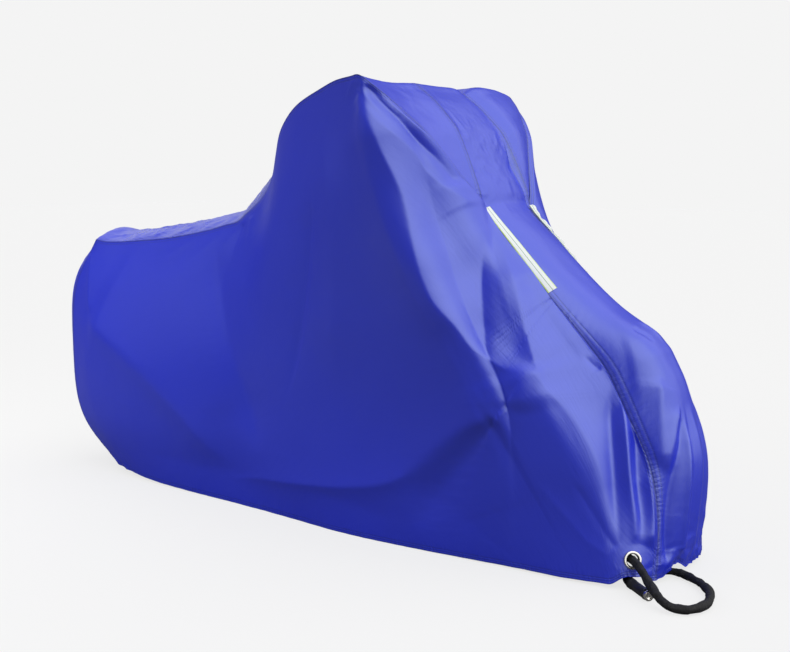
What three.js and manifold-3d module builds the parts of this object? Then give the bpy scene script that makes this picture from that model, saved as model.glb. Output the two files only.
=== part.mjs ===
// Motorcycle cover, draped as over a standing motorcycle.
// Millimetres, +X forward, +Y to the left, +Z up, the hem on the floor at z = 0.
import * as THREE from 'three';
import { mergeVertices } from 'three/addons/utils/BufferGeometryUtils.js';
import Module from 'manifold-3d';

// Frame: all tables give x ahead of the handlebar line, the distance from the middle plane, and z
const BAR_AHEAD = 364.6; // handlebar line, ahead of the middle of the cover's length

// Cloth and seams
const CLOTH = 2; // thickness of a sheet
const SEAM_GAP = 0.5; // between two panels, measured along them
const PANEL_HALF = 125; // half the width of the centre panel
const TAPE_WIDTH = 22;
const TAPE_THICK = 1;
const TAPE_LIFT = 0.4; // tape off the cloth below it
const TAPE_START_X = 204;
const TAPE_END_X = 393;

// Grid of a side panel
const LEVEL_ROWS = 18; // from the edge seam down to the hem
const STEP = 54; // longest step along the edge seam
const SHOULDER_COLUMNS = [-1, -0.5, 0, 0.5, 1]; // across the centre panel, between the two tapes

// Eyelets and lock
const EYELET = { hole: 14.5, outer: 21.5, barrel: 16, flange: 2.4, depth: 7, cut: 17, lift: 0.4 };
const EYELET_AT = { x: 667, z: 68, pad: 26, fade: 26 };
const STRAP_RADIUS = 11.5;
const STRAP_SIDES = 10;
const STRAP_STEPS = 52;

// Edge seam of a side panel, from the tail corner over the handlebar to the lower front.
// crown is how far the top bulges off the straight line between the two seams.
const EDGE = table(['x', 'half', 'z', 'crown'], [
  [-1266, 122, 757, 36],
  [-1212, 125, 752, 32],
  [-1100, 125, 757, 38],
  [-930, 125, 772, 46],
  [-765, 125, 799, 46],
  [-690, 125, 817, 46],
  [-640, 127, 828, 50],
  [-603, 132, 849, 60],
  [-538, 145, 888, 76],
  [-492, 158, 926, 76],
  [-460, 172, 963, 64],
  [-428, 194, 1018, 44],
  [-398, 215, 1068, 24],
  [-371, 230, 1097, 14],
  [-320, 255, 1132, 6],
  [-268, 276, 1156, 2],
  [-180, 310, 1181, 0],
  [-101, 342, 1199, 0],
  [-30, 370, 1205, 0],
  [6, 383, 1206, 0],
  [30, 372, 1188, 0],
  [63, 345, 1155, 6],
  [92, 310, 1117, 12],
  [121, 275, 1078, 16],
  [147, 228, 1022, 18],
  [172, 183, 962, 20],
  [191, 148, 918, 21],
  [TAPE_START_X, 125, 882, 22],
  [300, 125, 776, 34],
  [TAPE_END_X, 125, 674, 48],
  [468, 125, 596, 66],
  [540, 125, 517, 104],
  [564, 125, 485, 110],
]);

// Ribs of a side panel, from the tail to the front. Each starts on the edge seam at seamX and runs
// down through points given as x, distance from the middle plane, z.
const RIBS = table(['seamX', 'upper', 'middle', 'lower', 'hem'], [
  [-1266, [-1366, 128, 600], [-1380, 134, 400], [-1340, 140, 180], [-1178, 138, 28]],
  [-1190, [-1250, 162, 595], [-1262, 180, 395], [-1222, 180, 190], [-1080, 164, 18]],
  [-1030, [-1065, 178, 595], [-1075, 206, 400], [-1052, 206, 198], [-965, 180, 9]],
  [-845, [-850, 186, 605], [-855, 216, 408], [-845, 216, 205], [-805, 190, 4]],
  [-665, [-660, 194, 620], [-655, 224, 412], [-650, 222, 208], [-640, 200, 2]],
  [-540, [-525, 210, 660], [-512, 230, 435], [-500, 226, 218], [-490, 212, 1]],
  [-420, [-395, 246, 790], [-375, 248, 525], [-355, 238, 260], [-340, 228, 1]],
  [-215, [-205, 300, 905], [-190, 276, 615], [-165, 252, 310], [-150, 250, 1]],
  [-60, [-44, 344, 925], [-10, 306, 635], [45, 262, 325], [80, 254, 2]],
  [6, [54, 362, 920], [150, 330, 665], [300, 284, 365], [290, 248, 4]],
  [110, [150, 260, 850], [245, 268, 640], [372, 262, 400], [400, 246, 6]],
  [185, [262, 205, 745], [350, 232, 560], [470, 238, 345], [500, 246, 7]],
  [270, [350, 176, 665], [445, 205, 480], [560, 222, 240], [592, 236, 9]],
  [420, [480, 150, 540], [540, 182, 380], [610, 208, 190], [640, 228, 11]],
  [500, [560, 142, 445], [612, 160, 310], [658, 180, 150], [680, 200, 12]],
  [564, [620, 126, 382], [674, 126, 272], [700, 132, 150], [706, 150, 12]],
]);
const LEVELS = ['upper', 'middle', 'lower', 'hem'];
const LEVEL_AT = [0, 0.25, 0.5, 0.75, 1];

// Crown of the tail and of the front at the levels of the end ribs
const TAIL_CROWN = [EDGE[0].crown, 96, 100, 96, 60];
const FRONT_CROWN = [EDGE.at(-1).crown, 104, 82, 50, 22];

// The bar is turned a little, so its left end lies further back and lower; each gusset bulges its own way
const BAR_TURN = 26;
const LEFT_DROP = 9;
const LEFT_DROP_FROM_Z = 900;
const GUSSET_BULGE = { [-1]: -6, [1]: 12 };

// Main folds of a side panel in its side view, each a bow through three points. A positive rise is a
// ridge and a negative one a trough; ahead and behind are how far it reaches to either side.
const FOLDS = table(['x0', 'z0', 'x1', 'z1', 'x2', 'z2', 'ahead', 'behind', 'rise'], [
  [0, 1150, 40, 960, 88, 794, 34, 60, 9], // ridge under the bar end
  [88, 794, 150, 660, 358, 490, 40, 80, 14],
  [30, 1150, 95, 1020, 190, 900, 20, 16, -12], // hollow beside the front edge seam
  [345, 400, 345, 380, 345, 355, 34, 26, 16], // point over the foot peg
  [330, 350, 230, 280, 60, 40, 60, 34, -15], // slanting hollow behind the peg
  [262, 720, 290, 590, 322, 430, 32, 34, -12], // hollow ahead of the bar end
  [262, 790, 420, 500, 560, 294, 34, 40, 9], // ridge from the tape down to the eyelet
  [560, 294, 610, 200, 640, 110, 26, 34, 9],
  [628, 350, 648, 200, 660, 110, 16, 16, -6], // gathers beside the front seam
  [655, 300, 674, 190, 684, 100, 13, 13, 6],
  [-265, 930, -240, 700, -205, 300, 90, 80, -15], // soft hollow below the back of the bar
  [-1060, 640, -830, 420, -562, 80, 110, 90, 9], // long soft ridge across the rear
  [-640, 70, -317, 84, 40, 60, 40, 40, -8], // tuck above the middle of the hem
]);
const FOLD_STEPS = 8; // straight steps along each bow
const FOLD_END = 60; // a fold fades out over this length beyond each end
const FOLD_FADE = 70; // folds fade out within this distance of a seam
const LEFT_FOLD_SHIFT = -45; // the left panel's folds lie further back

// Where the hem is lifted, over the lock body and over the strap; x, y in plan
const HEM_LIFTS = table(['x', 'y', 'rise'], [
  [669, -207, 21],
  [724, -68, 20],
]);
const LIFT_FLAT = 17; // full lift within this distance
const LIFT_REACH = 38; // and none this much further out
const LIFT_HEIGHT = 110; // the lift dies out this far above the hem

// Lock: a barrel that lies under the right front corner of the hem, its metal key end outside
const LOCK = { x: 738, y: -264, z: 13.4, length: 96, cap: 12, radius: 13, capRadius: 12, gap: 0.4 };
const LOCK_WAY = new THREE.Vector3(0.77, -0.638, 0).normalize(); // from its rear to its key end

// Middle line of the strap: from the rear of the lock round under the cover, out below the front hem,
// round on the floor, over the lock and in through the right eyelet to its end under the cover
const STRAP_ROUTE = table(['x', 'y', 'z'], [
  [652.2, -192.9, 13.3],
  [640.5, -170, 12.7],
  [636, -142, 12],
  [641, -114, 11.8],
  [656, -90, 11.8],
  [680, -73, 11.8],
  [708, -66, 11.8],
  [742, -70, 11.8],
  [774, -88, 11.8],
  [806, -114, 11.8],
  [834, -147, 11.8],
  [852, -188, 11.8],
  [859, -230, 11.8],
  [853, -268, 11.8],
  [831, -294, 12.2],
  [799, -302, 16.5],
  [768, -288, 27],
  [741, -264, 39],
  [716, -241, 50],
  [694, -221, 61.5],
  [679, -209, 67],
  [EYELET_AT.x, -199.5, EYELET_AT.z],
  [648, -184, 67],
  [626, -160, 63],
  [606, -132, 52],
  [588, -104, 37],
  [568, -80, 22],
  [544, -60, 13],
  [514, -46, 11.8],
]);

function table(columns, rows) {
  return rows.map((row) => Object.fromEntries(columns.map((name, k) => [name, row[k]])));
}

function clamp01(value) {
  return Math.min(1, Math.max(0, value));
}

function smoothstep(value) {
  const t = clamp01(value);
  return t * t * (3 - 2 * t);
}

// Cubic curve through rows of numbers at rising knots
function curveAt(knots, rows, t) {
  let k = 0;
  while (k < knots.length - 2 && t > knots[k + 1]) k += 1;
  const slope = (i, c) => {
    const a = Math.max(0, i - 1);
    const b = Math.min(knots.length - 1, i + 1);
    return (rows[b][c] - rows[a][c]) / (knots[b] - knots[a]);
  };
  const span = knots[k + 1] - knots[k];
  const f = (t - knots[k]) / span;
  const f2 = f * f;
  const f3 = f2 * f;
  return rows[k].map((value, c) =>
    (2 * f3 - 3 * f2 + 1) * value +
    (f3 - 2 * f2 + f) * span * slope(k, c) +
    (3 * f2 - 2 * f3) * rows[k + 1][c] +
    (f3 - f2) * span * slope(k + 1, c));
}

// Edge seam by its own length, from 0 at the tail corner to 1 at the lower front
const edgeRows = EDGE.map((row) => [row.x, row.half, row.z, row.crown]);
const edgeKnots = [0];
for (let k = 1; k < edgeRows.length; k += 1) {
  const step = Math.hypot(...[0, 1, 2].map((c) => edgeRows[k][c] - edgeRows[k - 1][c]));
  edgeKnots.push(edgeKnots[k - 1] + step);
}
const edgeLength = edgeKnots.at(-1);
for (let k = 0; k < edgeKnots.length; k += 1) edgeKnots[k] /= edgeLength;

function edgeShare(x) {
  let k = 0;
  while (k < EDGE.length - 2 && x > EDGE[k + 1].x) k += 1;
  const f = (x - EDGE[k].x) / (EDGE[k + 1].x - EDGE[k].x);
  return edgeKnots[k] + f * (edgeKnots[k + 1] - edgeKnots[k]);
}

const EDGE_REACH = Math.max(...EDGE.map((row) => row.half));
const ribKnots = RIBS.map((rib) => edgeShare(rib.seamX));

// Point of the smooth side panel as [x, half, z]; u runs forward along the edge seam, v down to the hem
function smoothSide(u, v) {
  const top = curveAt(edgeKnots, edgeRows, u).slice(0, 3);
  const down = LEVELS.map((level) => curveAt(ribKnots, RIBS.map((rib) => rib[level]), u));
  return curveAt(LEVEL_AT, [top, ...down], v);
}

// Points along a fold's bow, which passes through its middle point half way
function foldLine({ x0, z0, x1, z1, x2, z2 }) {
  const pullX = 2 * x1 - (x0 + x2) / 2;
  const pullZ = 2 * z1 - (z0 + z2) / 2;
  return Array.from({ length: FOLD_STEPS + 1 }, (_, k) => {
    const t = k / FOLD_STEPS;
    const a = (1 - t) * (1 - t);
    const b = 2 * t * (1 - t);
    return [a * x0 + b * pullX + t * t * x2, a * z0 + b * pullZ + t * t * z2];
  });
}

const foldLines = FOLDS.map(foldLine);

// Height of all folds at a point of the side view
function foldRise(x, z) {
  let total = 0;
  FOLDS.forEach(({ ahead, behind, rise }, k) => {
    const line = foldLines[k];
    let best = { off: Infinity, beyond: 0, isAhead: false };
    for (let i = 0; i < FOLD_STEPS; i += 1) {
      const [ax, az] = line[i];
      const dx = line[i + 1][0] - ax;
      const dz = line[i + 1][1] - az;
      const length = Math.hypot(dx, dz);
      const along = ((x - ax) * dx + (z - az) * dz) / length;
      const isEnd = (i === 0 && along < 0) || (i === FOLD_STEPS - 1 && along > length);
      const inside = isEnd ? along : Math.min(length, Math.max(0, along));
      const across = (x - ax) * dz - (z - az) * dx;
      const off = Math.hypot(x - ax - inside * dx / length, z - az - inside * dz / length);
      const beyond = isEnd ? Math.max(-along, along - length) : 0;
      if (off + beyond < best.off + best.beyond) best = { off, beyond, isAhead: across * dz > 0 };
    }
    const reach = best.isAhead ? ahead : behind;
    total += rise * Math.exp(-((best.off / reach) ** 2)) * (1 - smoothstep(best.beyond / FOLD_END));
  });
  return total;
}

// Shares of the edge seam at which the grids have their rows; both tape ends and the bar end are rows
const peakX = EDGE.find((row) => row.half === EDGE_REACH).x;
const edgeShares = [0];
for (const stop of [edgeShare(peakX), edgeShare(TAPE_START_X), edgeShare(TAPE_END_X), 1]) {
  const from = edgeShares.at(-1);
  const steps = Math.ceil((stop - from) * edgeLength / STEP);
  for (let i = 1; i <= steps; i += 1) edgeShares.push(from + (stop - from) * i / steps);
}
const levelShares = Array.from({ length: LEVEL_ROWS + 1 }, (_, j) => j / LEVEL_ROWS);

// Outward normals of a grid of points; sign is 1 where rows x columns points outward
function gridNormals(grid, sign) {
  const rows = grid.length;
  const columns = grid[0].length;
  return grid.map((line, r) => line.map((_, c) => {
    const alongRows = grid[Math.min(rows - 1, r + 1)][c].clone().sub(grid[Math.max(0, r - 1)][c]);
    const alongColumns = line[Math.min(columns - 1, c + 1)].clone().sub(line[Math.max(0, c - 1)]);
    return alongRows.cross(alongColumns).multiplyScalar(sign).normalize();
  }));
}

// Point of one side in x, y, z; side is -1 for the right and 1 for the left
function sided([x, half, z], side) {
  const out = clamp01((half - PANEL_HALF) / (EDGE_REACH - PANEL_HALF));
  const up = clamp01((z - LEFT_DROP_FROM_Z) / 300);
  const isLeft = side > 0 ? 1 : 0;
  return new THREE.Vector3(x - isLeft * BAR_TURN * out, side * half, z - isLeft * LEFT_DROP * out * up);
}

// How much the cloth is lifted at a point above a given point of the hem
function hemLift(point, hemPoint) {
  let lift = 0;
  for (const { x, y, rise } of HEM_LIFTS) {
    const away = Math.hypot(hemPoint.x - x, hemPoint.y - y);
    lift += rise * (1 - smoothstep((away - LIFT_FLAT) / LIFT_REACH));
  }
  return lift * (1 - smoothstep((point.z - hemPoint.z) / LIFT_HEIGHT));
}

// Outer face of a side panel
function sideOuter(side) {
  const smooth = edgeShares.map((u) => levelShares.map((v) => sided(smoothSide(u, v), side)));
  const normals = gridNormals(smooth, side);
  return smooth.map((line, r) => line.map((point, c) => {
    const fromTop = point.distanceTo(line[0]);
    const fromTail = point.distanceTo(smooth[0][c]);
    const fromFront = point.distanceTo(smooth.at(-1)[c]);
    const fade = smoothstep(Math.min(fromTop, fromTail, fromFront) / FOLD_FADE);
    const fromEyelet = Math.hypot(point.x - EYELET_AT.x, point.z - EYELET_AT.z);
    const pad = smoothstep((fromEyelet - EYELET_AT.pad) / EYELET_AT.fade);
    const foldX = side > 0 ? point.x - LEFT_FOLD_SHIFT : point.x;
    const rise = foldRise(foldX, point.z) * fade * pad;
    const moved = point.clone().addScaledVector(normals[r][c], rise);
    if (c === line.length - 1) moved.z = point.z;
    moved.z += hemLift(point, line.at(-1));
    return moved;
  }));
}

const outerSides = { [-1]: sideOuter(-1), [1]: sideOuter(1) };

// Seam line of one side, from the rear hem over the top to the front hem, with the crown at each point
function seamLine(side) {
  const grid = outerSides[side];
  const last = grid.length - 1;
  const tail = levelShares.map((v, j) => ({
    point: grid[0][j], crown: curveAt(LEVEL_AT, TAIL_CROWN.map((c) => [c]), v)[0], at: [0, j],
  }));
  const top = edgeShares.map((u, i) => ({
    point: grid[i][0], crown: curveAt(edgeKnots, edgeRows, u)[3], at: [i, 0],
  }));
  const front = levelShares.map((v, j) => ({
    point: grid[last][j], crown: curveAt(LEVEL_AT, FRONT_CROWN.map((c) => [c]), v)[0], at: [last, j],
  }));
  return [...tail.reverse(), ...top.slice(1), ...front.slice(1)];
}

const seams = { [-1]: seamLine(-1), [1]: seamLine(1) };

// Profile between the two seams: its point in the middle plane and its outward direction
const profile = seams[1].map(({ point }, k) => point.clone().add(seams[-1][k].point).multiplyScalar(0.5));
const profileNormals = profile.map((_, k) => {
  const before = profile[Math.max(0, k - 1)];
  const after = profile[Math.min(profile.length - 1, k + 1)];
  return new THREE.Vector3(before.z - after.z, 0, after.x - before.x).normalize();
});

// Point of the top surface at seam point k, at a share of the way from the middle plane to one side's
// seam, before the hem is lifted
function plainTopPoint(k, side, share) {
  const { point, crown } = seams[side][k];
  const half = Math.abs(point.y);
  const y = side * share * half;
  const across = clamp01((Math.abs(y) - PANEL_HALF) / Math.max(1, half - PANEL_HALF));
  const wide = clamp01((half - PANEL_HALF) / 200);
  const bulge = GUSSET_BULGE[side] * 4 * across * (1 - across) * wide;
  const base = profile[k].clone().lerp(point, share * share).setY(y);
  base.addScaledVector(profileNormals[k], crown * (1 - share * share) + bulge);
  if (k === 0 || k === profile.length - 1) base.z = point.z;
  return base;
}

// Point of the top surface at seam point k, y measured from the middle plane
function topPoint(k, y) {
  const side = y < 0 ? -1 : 1;
  const share = Math.abs(y / seams[side][k].point.y);
  const base = plainTopPoint(k, side, share);
  base.z += hemLift(base, plainTopPoint(profile.length - 1, side, share));
  return base;
}

const isGusseted = seams[1].map(({ point, at }) => at[1] === 0 && point.y > PANEL_HALF + 8);
const gussetFrom = isGusseted.indexOf(true);
const gussetTo = isGusseted.lastIndexOf(true);

// Positions across the centre panel; the outermost pair of columns is as wide as a tape
function panelColumns(k) {
  const edge = isGusseted[k] ? PANEL_HALF : seams[1][k].point.y;
  const inner = edge - TAPE_WIDTH;
  return [-edge, ...SHOULDER_COLUMNS.map((share) => share * inner), edge];
}

const centreOuter = seams[1].map((_, k) => panelColumns(k).map((y) => topPoint(k, y)));
const centreNormals = gridNormals(centreOuter, 1);

const GUSSET_SHARES = [0, 0.35, 0.7, 1];
const GUSSET_TIP = 0.4; // how far from its first full row each pointed end stops

// Outer face of a gusset, from the centre panel's edge out to the edge seam; its two ends are pointed
function gussetOuter(side) {
  const acrossAt = (k) => GUSSET_SHARES.map((share) => {
    const half = THREE.MathUtils.lerp(PANEL_HALF, Math.abs(seams[side][k].point.y), share);
    return topPoint(k, side * half);
  });
  const pointedEnd = (tip, first) => {
    const tipPoint = seams[side][tip].point;
    return acrossAt(first).map((point) => tipPoint.clone().lerp(point, GUSSET_TIP));
  };
  const rows = [pointedEnd(gussetFrom - 1, gussetFrom)];
  for (let k = gussetFrom; k <= gussetTo; k += 1) rows.push(acrossAt(k));
  rows.push(pointedEnd(gussetTo + 1, gussetTo));
  return rows;
}

const gussetOuters = { [-1]: gussetOuter(-1), [1]: gussetOuter(1) };

// Outward normal of whatever meets the side panel at seam point k
function acrossNormal(side, k) {
  if (isGusseted[k]) {
    return gridNormals(gussetOuters[side], side)[k - gussetFrom + 1].at(-1);
  }
  return centreNormals[k][side > 0 ? centreNormals[k].length - 1 : 0];
}

// Inner point of two sheets that meet at a seam with the given outward normals
function mitre(point, normalA, normalB) {
  const spread = Math.max(0.25, 1 + normalA.dot(normalB));
  return point.clone().addScaledVector(normalA.clone().add(normalB), -CLOTH / spread);
}

// Moves the border of a sheet's two faces into the sheet, by half a seam gap
function pullIn(outer, inner, r, c, toRow, toColumn) {
  const direction = outer[toRow][toColumn].clone().sub(outer[r][c]).normalize();
  outer[r][c].addScaledVector(direction, SEAM_GAP / 2);
  inner[r][c].addScaledVector(direction, SEAM_GAP / 2);
}

// Closed solid between two grids of points
function sheetGeometry(outer, inner, sign) {
  const rows = outer.length;
  const columns = outer[0].length;
  const positions = [...outer.flat(), ...inner.flat()].flatMap((p) => [p.x, p.y, p.z]);
  const out = (r, c) => r * columns + c;
  const inn = (r, c) => rows * columns + out(r, c);
  const triangles = [];
  const quad = (a, b, c, d) => {
    if (sign > 0) triangles.push(a, b, c, a, c, d);
    else triangles.push(a, c, b, a, d, c);
  };
  for (let r = 0; r < rows - 1; r += 1) {
    for (let c = 0; c < columns - 1; c += 1) {
      quad(out(r, c), out(r + 1, c), out(r + 1, c + 1), out(r, c + 1));
      quad(inn(r, c), inn(r, c + 1), inn(r + 1, c + 1), inn(r + 1, c));
    }
    quad(out(r + 1, 0), out(r, 0), inn(r, 0), inn(r + 1, 0));
    quad(out(r, columns - 1), out(r + 1, columns - 1), inn(r + 1, columns - 1), inn(r, columns - 1));
  }
  for (let c = 0; c < columns - 1; c += 1) {
    quad(out(0, c), out(0, c + 1), inn(0, c + 1), inn(0, c));
    quad(out(rows - 1, c + 1), out(rows - 1, c), inn(rows - 1, c), inn(rows - 1, c + 1));
  }
  const geometry = new THREE.BufferGeometry();
  geometry.setAttribute('position', new THREE.Float32BufferAttribute(positions, 3));
  geometry.setIndex(triangles);
  return geometry;
}

// Inner face of a sheet; at the hem it is moved level, so that the hem keeps its height
function innerFace(outer, normals, isHem) {
  return outer.map((line, r) => line.map((point, c) => {
    const normal = normals[r][c].clone();
    if (isHem(r, c)) normal.setZ(0).normalize();
    return point.clone().addScaledVector(normal, -CLOTH);
  }));
}

function sidePanelGeometry(side) {
  const outer = outerSides[side].map((line) => line.map((point) => point.clone()));
  const lastColumn = outer[0].length - 1;
  const lastRow = outer.length - 1;
  const inner = innerFace(outer, gridNormals(outer, side), (r, c) => c === lastColumn);
  seams[side].forEach(({ point, at: [r, c] }, k) => {
    inner[r][c] = innerSeamPoint(side, k);
    if (c === lastColumn) inner[r][c].z = point.z;
    const toRow = r === 0 ? 1 : r === lastRow ? lastRow - 1 : r;
    pullIn(outer, inner, r, c, toRow, c === 0 ? 1 : c);
  });
  return sheetGeometry(outer, inner, side);
}

function centrePanelGeometry() {
  const outer = centreOuter.map((line) => line.map((point) => point.clone()));
  const lastRow = outer.length - 1;
  const lastColumn = outer[0].length - 1;
  const inner = innerFace(outer, centreNormals, (r) => r === 0 || r === lastRow);
  for (const side of [-1, 1]) {
    const column = side > 0 ? lastColumn : 0;
    seams[side].forEach(({ point }, k) => {
      if (!isGusseted[k]) inner[k][column] = innerSeamPoint(side, k);
      if (k === 0 || k === lastRow) inner[k][column].z = point.z;
      pullIn(outer, inner, k, column, k, side > 0 ? lastColumn - 1 : 1);
    });
  }
  return sheetGeometry(outer, inner, 1);
}

// Inner point of the edge seam at seam point k, shared by the sheets on both sides of it
function innerSeamPoint(side, k) {
  const { point, at: [r, c] } = seams[side][k];
  const sideNormal = gridNormals(outerSides[side], side)[r][c];
  return mitre(point, sideNormal, acrossNormal(side, k));
}

function gussetGeometry(side) {
  const outer = gussetOuters[side].map((line) => line.map((point) => point.clone()));
  const inner = innerFace(outer, gridNormals(outer, side), () => false);
  const lastColumn = GUSSET_SHARES.length - 1;
  for (let k = gussetFrom; k <= gussetTo; k += 1) {
    inner[k - gussetFrom + 1][lastColumn] = innerSeamPoint(side, k);
  }
  const ends = [[0, 1, gussetFrom - 1], [inner.length - 1, inner.length - 2, gussetTo + 1]];
  for (const [row, nextRow, tip] of ends) {
    const tipPoint = innerSeamPoint(side, tip);
    inner[row] = inner[nextRow].map((point) => tipPoint.clone().lerp(point, GUSSET_TIP));
  }
  for (const line of [...outer, ...inner]) {
    line[0].y += side * SEAM_GAP / 2;
    line[lastColumn].y -= side * SEAM_GAP / 2;
  }
  return sheetGeometry(outer, inner, side);
}

// Reflective tape on the centre panel, along the seam
function tapeGeometry(side) {
  const column = side > 0 ? centreOuter[0].length - 1 : 0;
  const nextColumn = side > 0 ? column - 1 : 1;
  const lower = [];
  seams[side].forEach(({ point }, k) => {
    if (point.x < TAPE_START_X - 1 || point.x > TAPE_END_X + 1 || point.z < 600) return;
    const edge = centreOuter[k][column];
    const inward = centreOuter[k][nextColumn];
    const normal = centreNormals[k][column].clone().add(centreNormals[k][nextColumn]).normalize();
    lower.push([edge, inward].map((p) => p.clone().addScaledVector(normal, TAPE_LIFT)));
    lower.at(-1).normal = normal;
  });
  const upper = lower.map((line) => line.map((p) => p.clone().addScaledVector(line.normal, TAPE_THICK)));
  return sheetGeometry(upper, lower, -side);
}

// Place of an eyelet on a side panel's faceted outer face
function eyeletFrame(side) {
  const grid = outerSides[side];
  let nearest = null;
  for (let r = 0; r < grid.length - 1; r += 1) {
    for (let c = 0; c < LEVEL_ROWS; c += 1) {
      const corners = [grid[r][c], grid[r + 1][c], grid[r + 1][c + 1], grid[r][c + 1]];
      const middle = corners.reduce((sum, p) => sum.add(p), new THREE.Vector3()).multiplyScalar(0.25);
      const away = Math.hypot(middle.x - EYELET_AT.x, middle.z - EYELET_AT.z);
      if (!nearest || away < nearest.away) nearest = { away, corners, middle };
    }
  }
  const [a, b, c, d] = nearest.corners;
  const normal = c.clone().sub(a).cross(d.clone().sub(b)).multiplyScalar(side).normalize();
  const y = nearest.middle.y - ((EYELET_AT.x - nearest.middle.x) * normal.x +
    (EYELET_AT.z - nearest.middle.z) * normal.z) / normal.y;
  return { centre: new THREE.Vector3(EYELET_AT.x, y, EYELET_AT.z), normal };
}

const eyelets = { [-1]: eyeletFrame(-1), [1]: eyeletFrame(1) };

function placedOn(geometry, { centre, normal }) {
  const turn = new THREE.Quaternion().setFromUnitVectors(new THREE.Vector3(0, 0, 1), normal);
  return geometry.applyQuaternion(turn).translate(centre.x, centre.y, centre.z);
}

// Solids of the manifold library, for the hole that each eyelet needs in its panel
const solids = await Module();
solids.setup();

function toSolid(geometry) {
  const vertProperties = new Float32Array(geometry.attributes.position.array);
  const triVerts = new Uint32Array(geometry.index.array);
  return new solids.Manifold(new solids.Mesh({ numProp: 3, vertProperties, triVerts }));
}

function toGeometry(solid) {
  const { vertProperties, triVerts } = solid.getMesh();
  const geometry = new THREE.BufferGeometry();
  geometry.setAttribute('position', new THREE.BufferAttribute(vertProperties, 3));
  geometry.setIndex(new THREE.BufferAttribute(triVerts, 1));
  return geometry;
}

function eyeletRod(side, radius) {
  const round = new THREE.CylinderGeometry(radius, radius, 60, 20).rotateX(Math.PI / 2);
  round.deleteAttribute('normal');
  round.deleteAttribute('uv');
  return toSolid(mergeVertices(placedOn(round, eyelets[side])));
}

const wholePanels = { [-1]: toSolid(sidePanelGeometry(-1)), [1]: toSolid(sidePanelGeometry(1)) };

function cutSidePanelGeometry(side) {
  return toGeometry(wholePanels[side].subtract(eyeletRod(side, EYELET.cut)));
}

// Metal eyelet: a rounded flange that clears the cloth under it, and a short barrel through the hole
function eyeletGeometry(side) {
  const { centre, normal } = eyelets[side];
  const under = toGeometry(wholePanels[side].intersect(eyeletRod(side, EYELET.outer)));
  const place = under.attributes.position;
  let highest = -Infinity;
  for (let k = 0; k < place.count; k += 1) {
    const height = new THREE.Vector3().fromBufferAttribute(place, k).sub(centre).dot(normal);
    highest = Math.max(highest, height);
  }
  const { hole, outer, barrel, flange, depth } = EYELET;
  const section = [
    [hole, flange - 0.8], [hole, -depth], [barrel, -depth], [barrel, 0], [outer, 0],
    [outer - 0.6, flange - 0.7], [outer - 2.5, flange], [hole + 1.5, flange], [hole, flange - 0.8],
  ].map(([radius, height]) => new THREE.Vector2(radius, height + highest + EYELET.lift));
  const ring = new THREE.LatheGeometry(section, 20).rotateX(Math.PI / 2);
  return placedOn(ring, eyelets[side]);
}

// Lock, turned about its own length: the black barrel, then the metal key end
function turned(profile, sides, along) {
  const points = profile.map(([radius, height]) => new THREE.Vector2(radius, height));
  const geometry = new THREE.LatheGeometry(points, sides).rotateX(Math.PI / 2);
  const tip = new THREE.Vector3(LOCK.x, LOCK.y, LOCK.z);
  return placedOn(geometry, { centre: tip.addScaledVector(LOCK_WAY, along), normal: LOCK_WAY });
}

function lockBodyGeometry() {
  const { length, cap, gap, radius } = LOCK;
  const from = -length;
  const to = -cap - gap;
  return turned([
    [0, from], [radius - 1.5, from], [radius, from + 1.5], [radius, from + 14], [radius - 0.8, from + 15],
    [radius - 0.8, to - 5], [radius, to - 4], [radius, to - 1], [radius - 1, to], [0, to],
  ], 20, 0);
}

function lockCapGeometry() {
  const { cap, capRadius } = LOCK;
  return turned([
    [0, -cap], [capRadius, -cap], [capRadius, -2], [capRadius - 2, 0], [7, 0], [6.4, -1.2], [0, -1.2],
  ], 20, 0);
}

// Round cord swept along a smooth line, with rounded ends
function cordGeometry(points, radius, sides, steps) {
  const curve = new THREE.CatmullRomCurve3(points, false, 'centripetal');
  const frames = curve.computeFrenetFrames(steps, false);
  const rings = [];
  const ring = (share, k, size, ahead) => {
    const centre = curve.getPointAt(share).addScaledVector(frames.tangents[k], ahead);
    return Array.from({ length: sides }, (_, i) => {
      const angle = 2 * Math.PI * i / sides;
      return centre.clone()
        .addScaledVector(frames.normals[k], Math.cos(angle) * size)
        .addScaledVector(frames.binormals[k], Math.sin(angle) * size);
    });
  };
  rings.push(ring(0, 0, radius - 1.5, 0));
  rings.push(ring(0, 0, radius, 1.5));
  for (let k = 1; k < steps; k += 1) rings.push(ring(k / steps, k, radius, 0));
  rings.push(ring(1, steps, radius, -1.5));
  rings.push(ring(1, steps, radius - 1.5, 0));
  const ends = [curve.getPointAt(0), curve.getPointAt(1)];
  const positions = [...rings.flat(), ...ends].flatMap((p) => [p.x, p.y, p.z]);
  const first = rings.length * sides;
  const triangles = [];
  for (let i = 0; i < sides; i += 1) {
    const next = (i + 1) % sides;
    for (let k = 0; k < rings.length - 1; k += 1) {
      const [a, b] = [k * sides + i, k * sides + next];
      triangles.push(a, b, b + sides, a, b + sides, a + sides);
    }
    const last = (rings.length - 1) * sides;
    triangles.push(first, next, i, first + 1, last + i, last + next);
  }
  const geometry = new THREE.BufferGeometry();
  geometry.setAttribute('position', new THREE.Float32BufferAttribute(positions, 3));
  geometry.setIndex(triangles);
  return geometry;
}

function strapGeometry() {
  const rear = new THREE.Vector3(LOCK.x, LOCK.y, LOCK.z).addScaledVector(LOCK_WAY, -LOCK.length - LOCK.gap);
  const route = STRAP_ROUTE.map(({ x, y, z }) => new THREE.Vector3(x, y, z));
  return cordGeometry([rear, ...route], STRAP_RADIUS, STRAP_SIDES, STRAP_STEPS);
}

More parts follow.
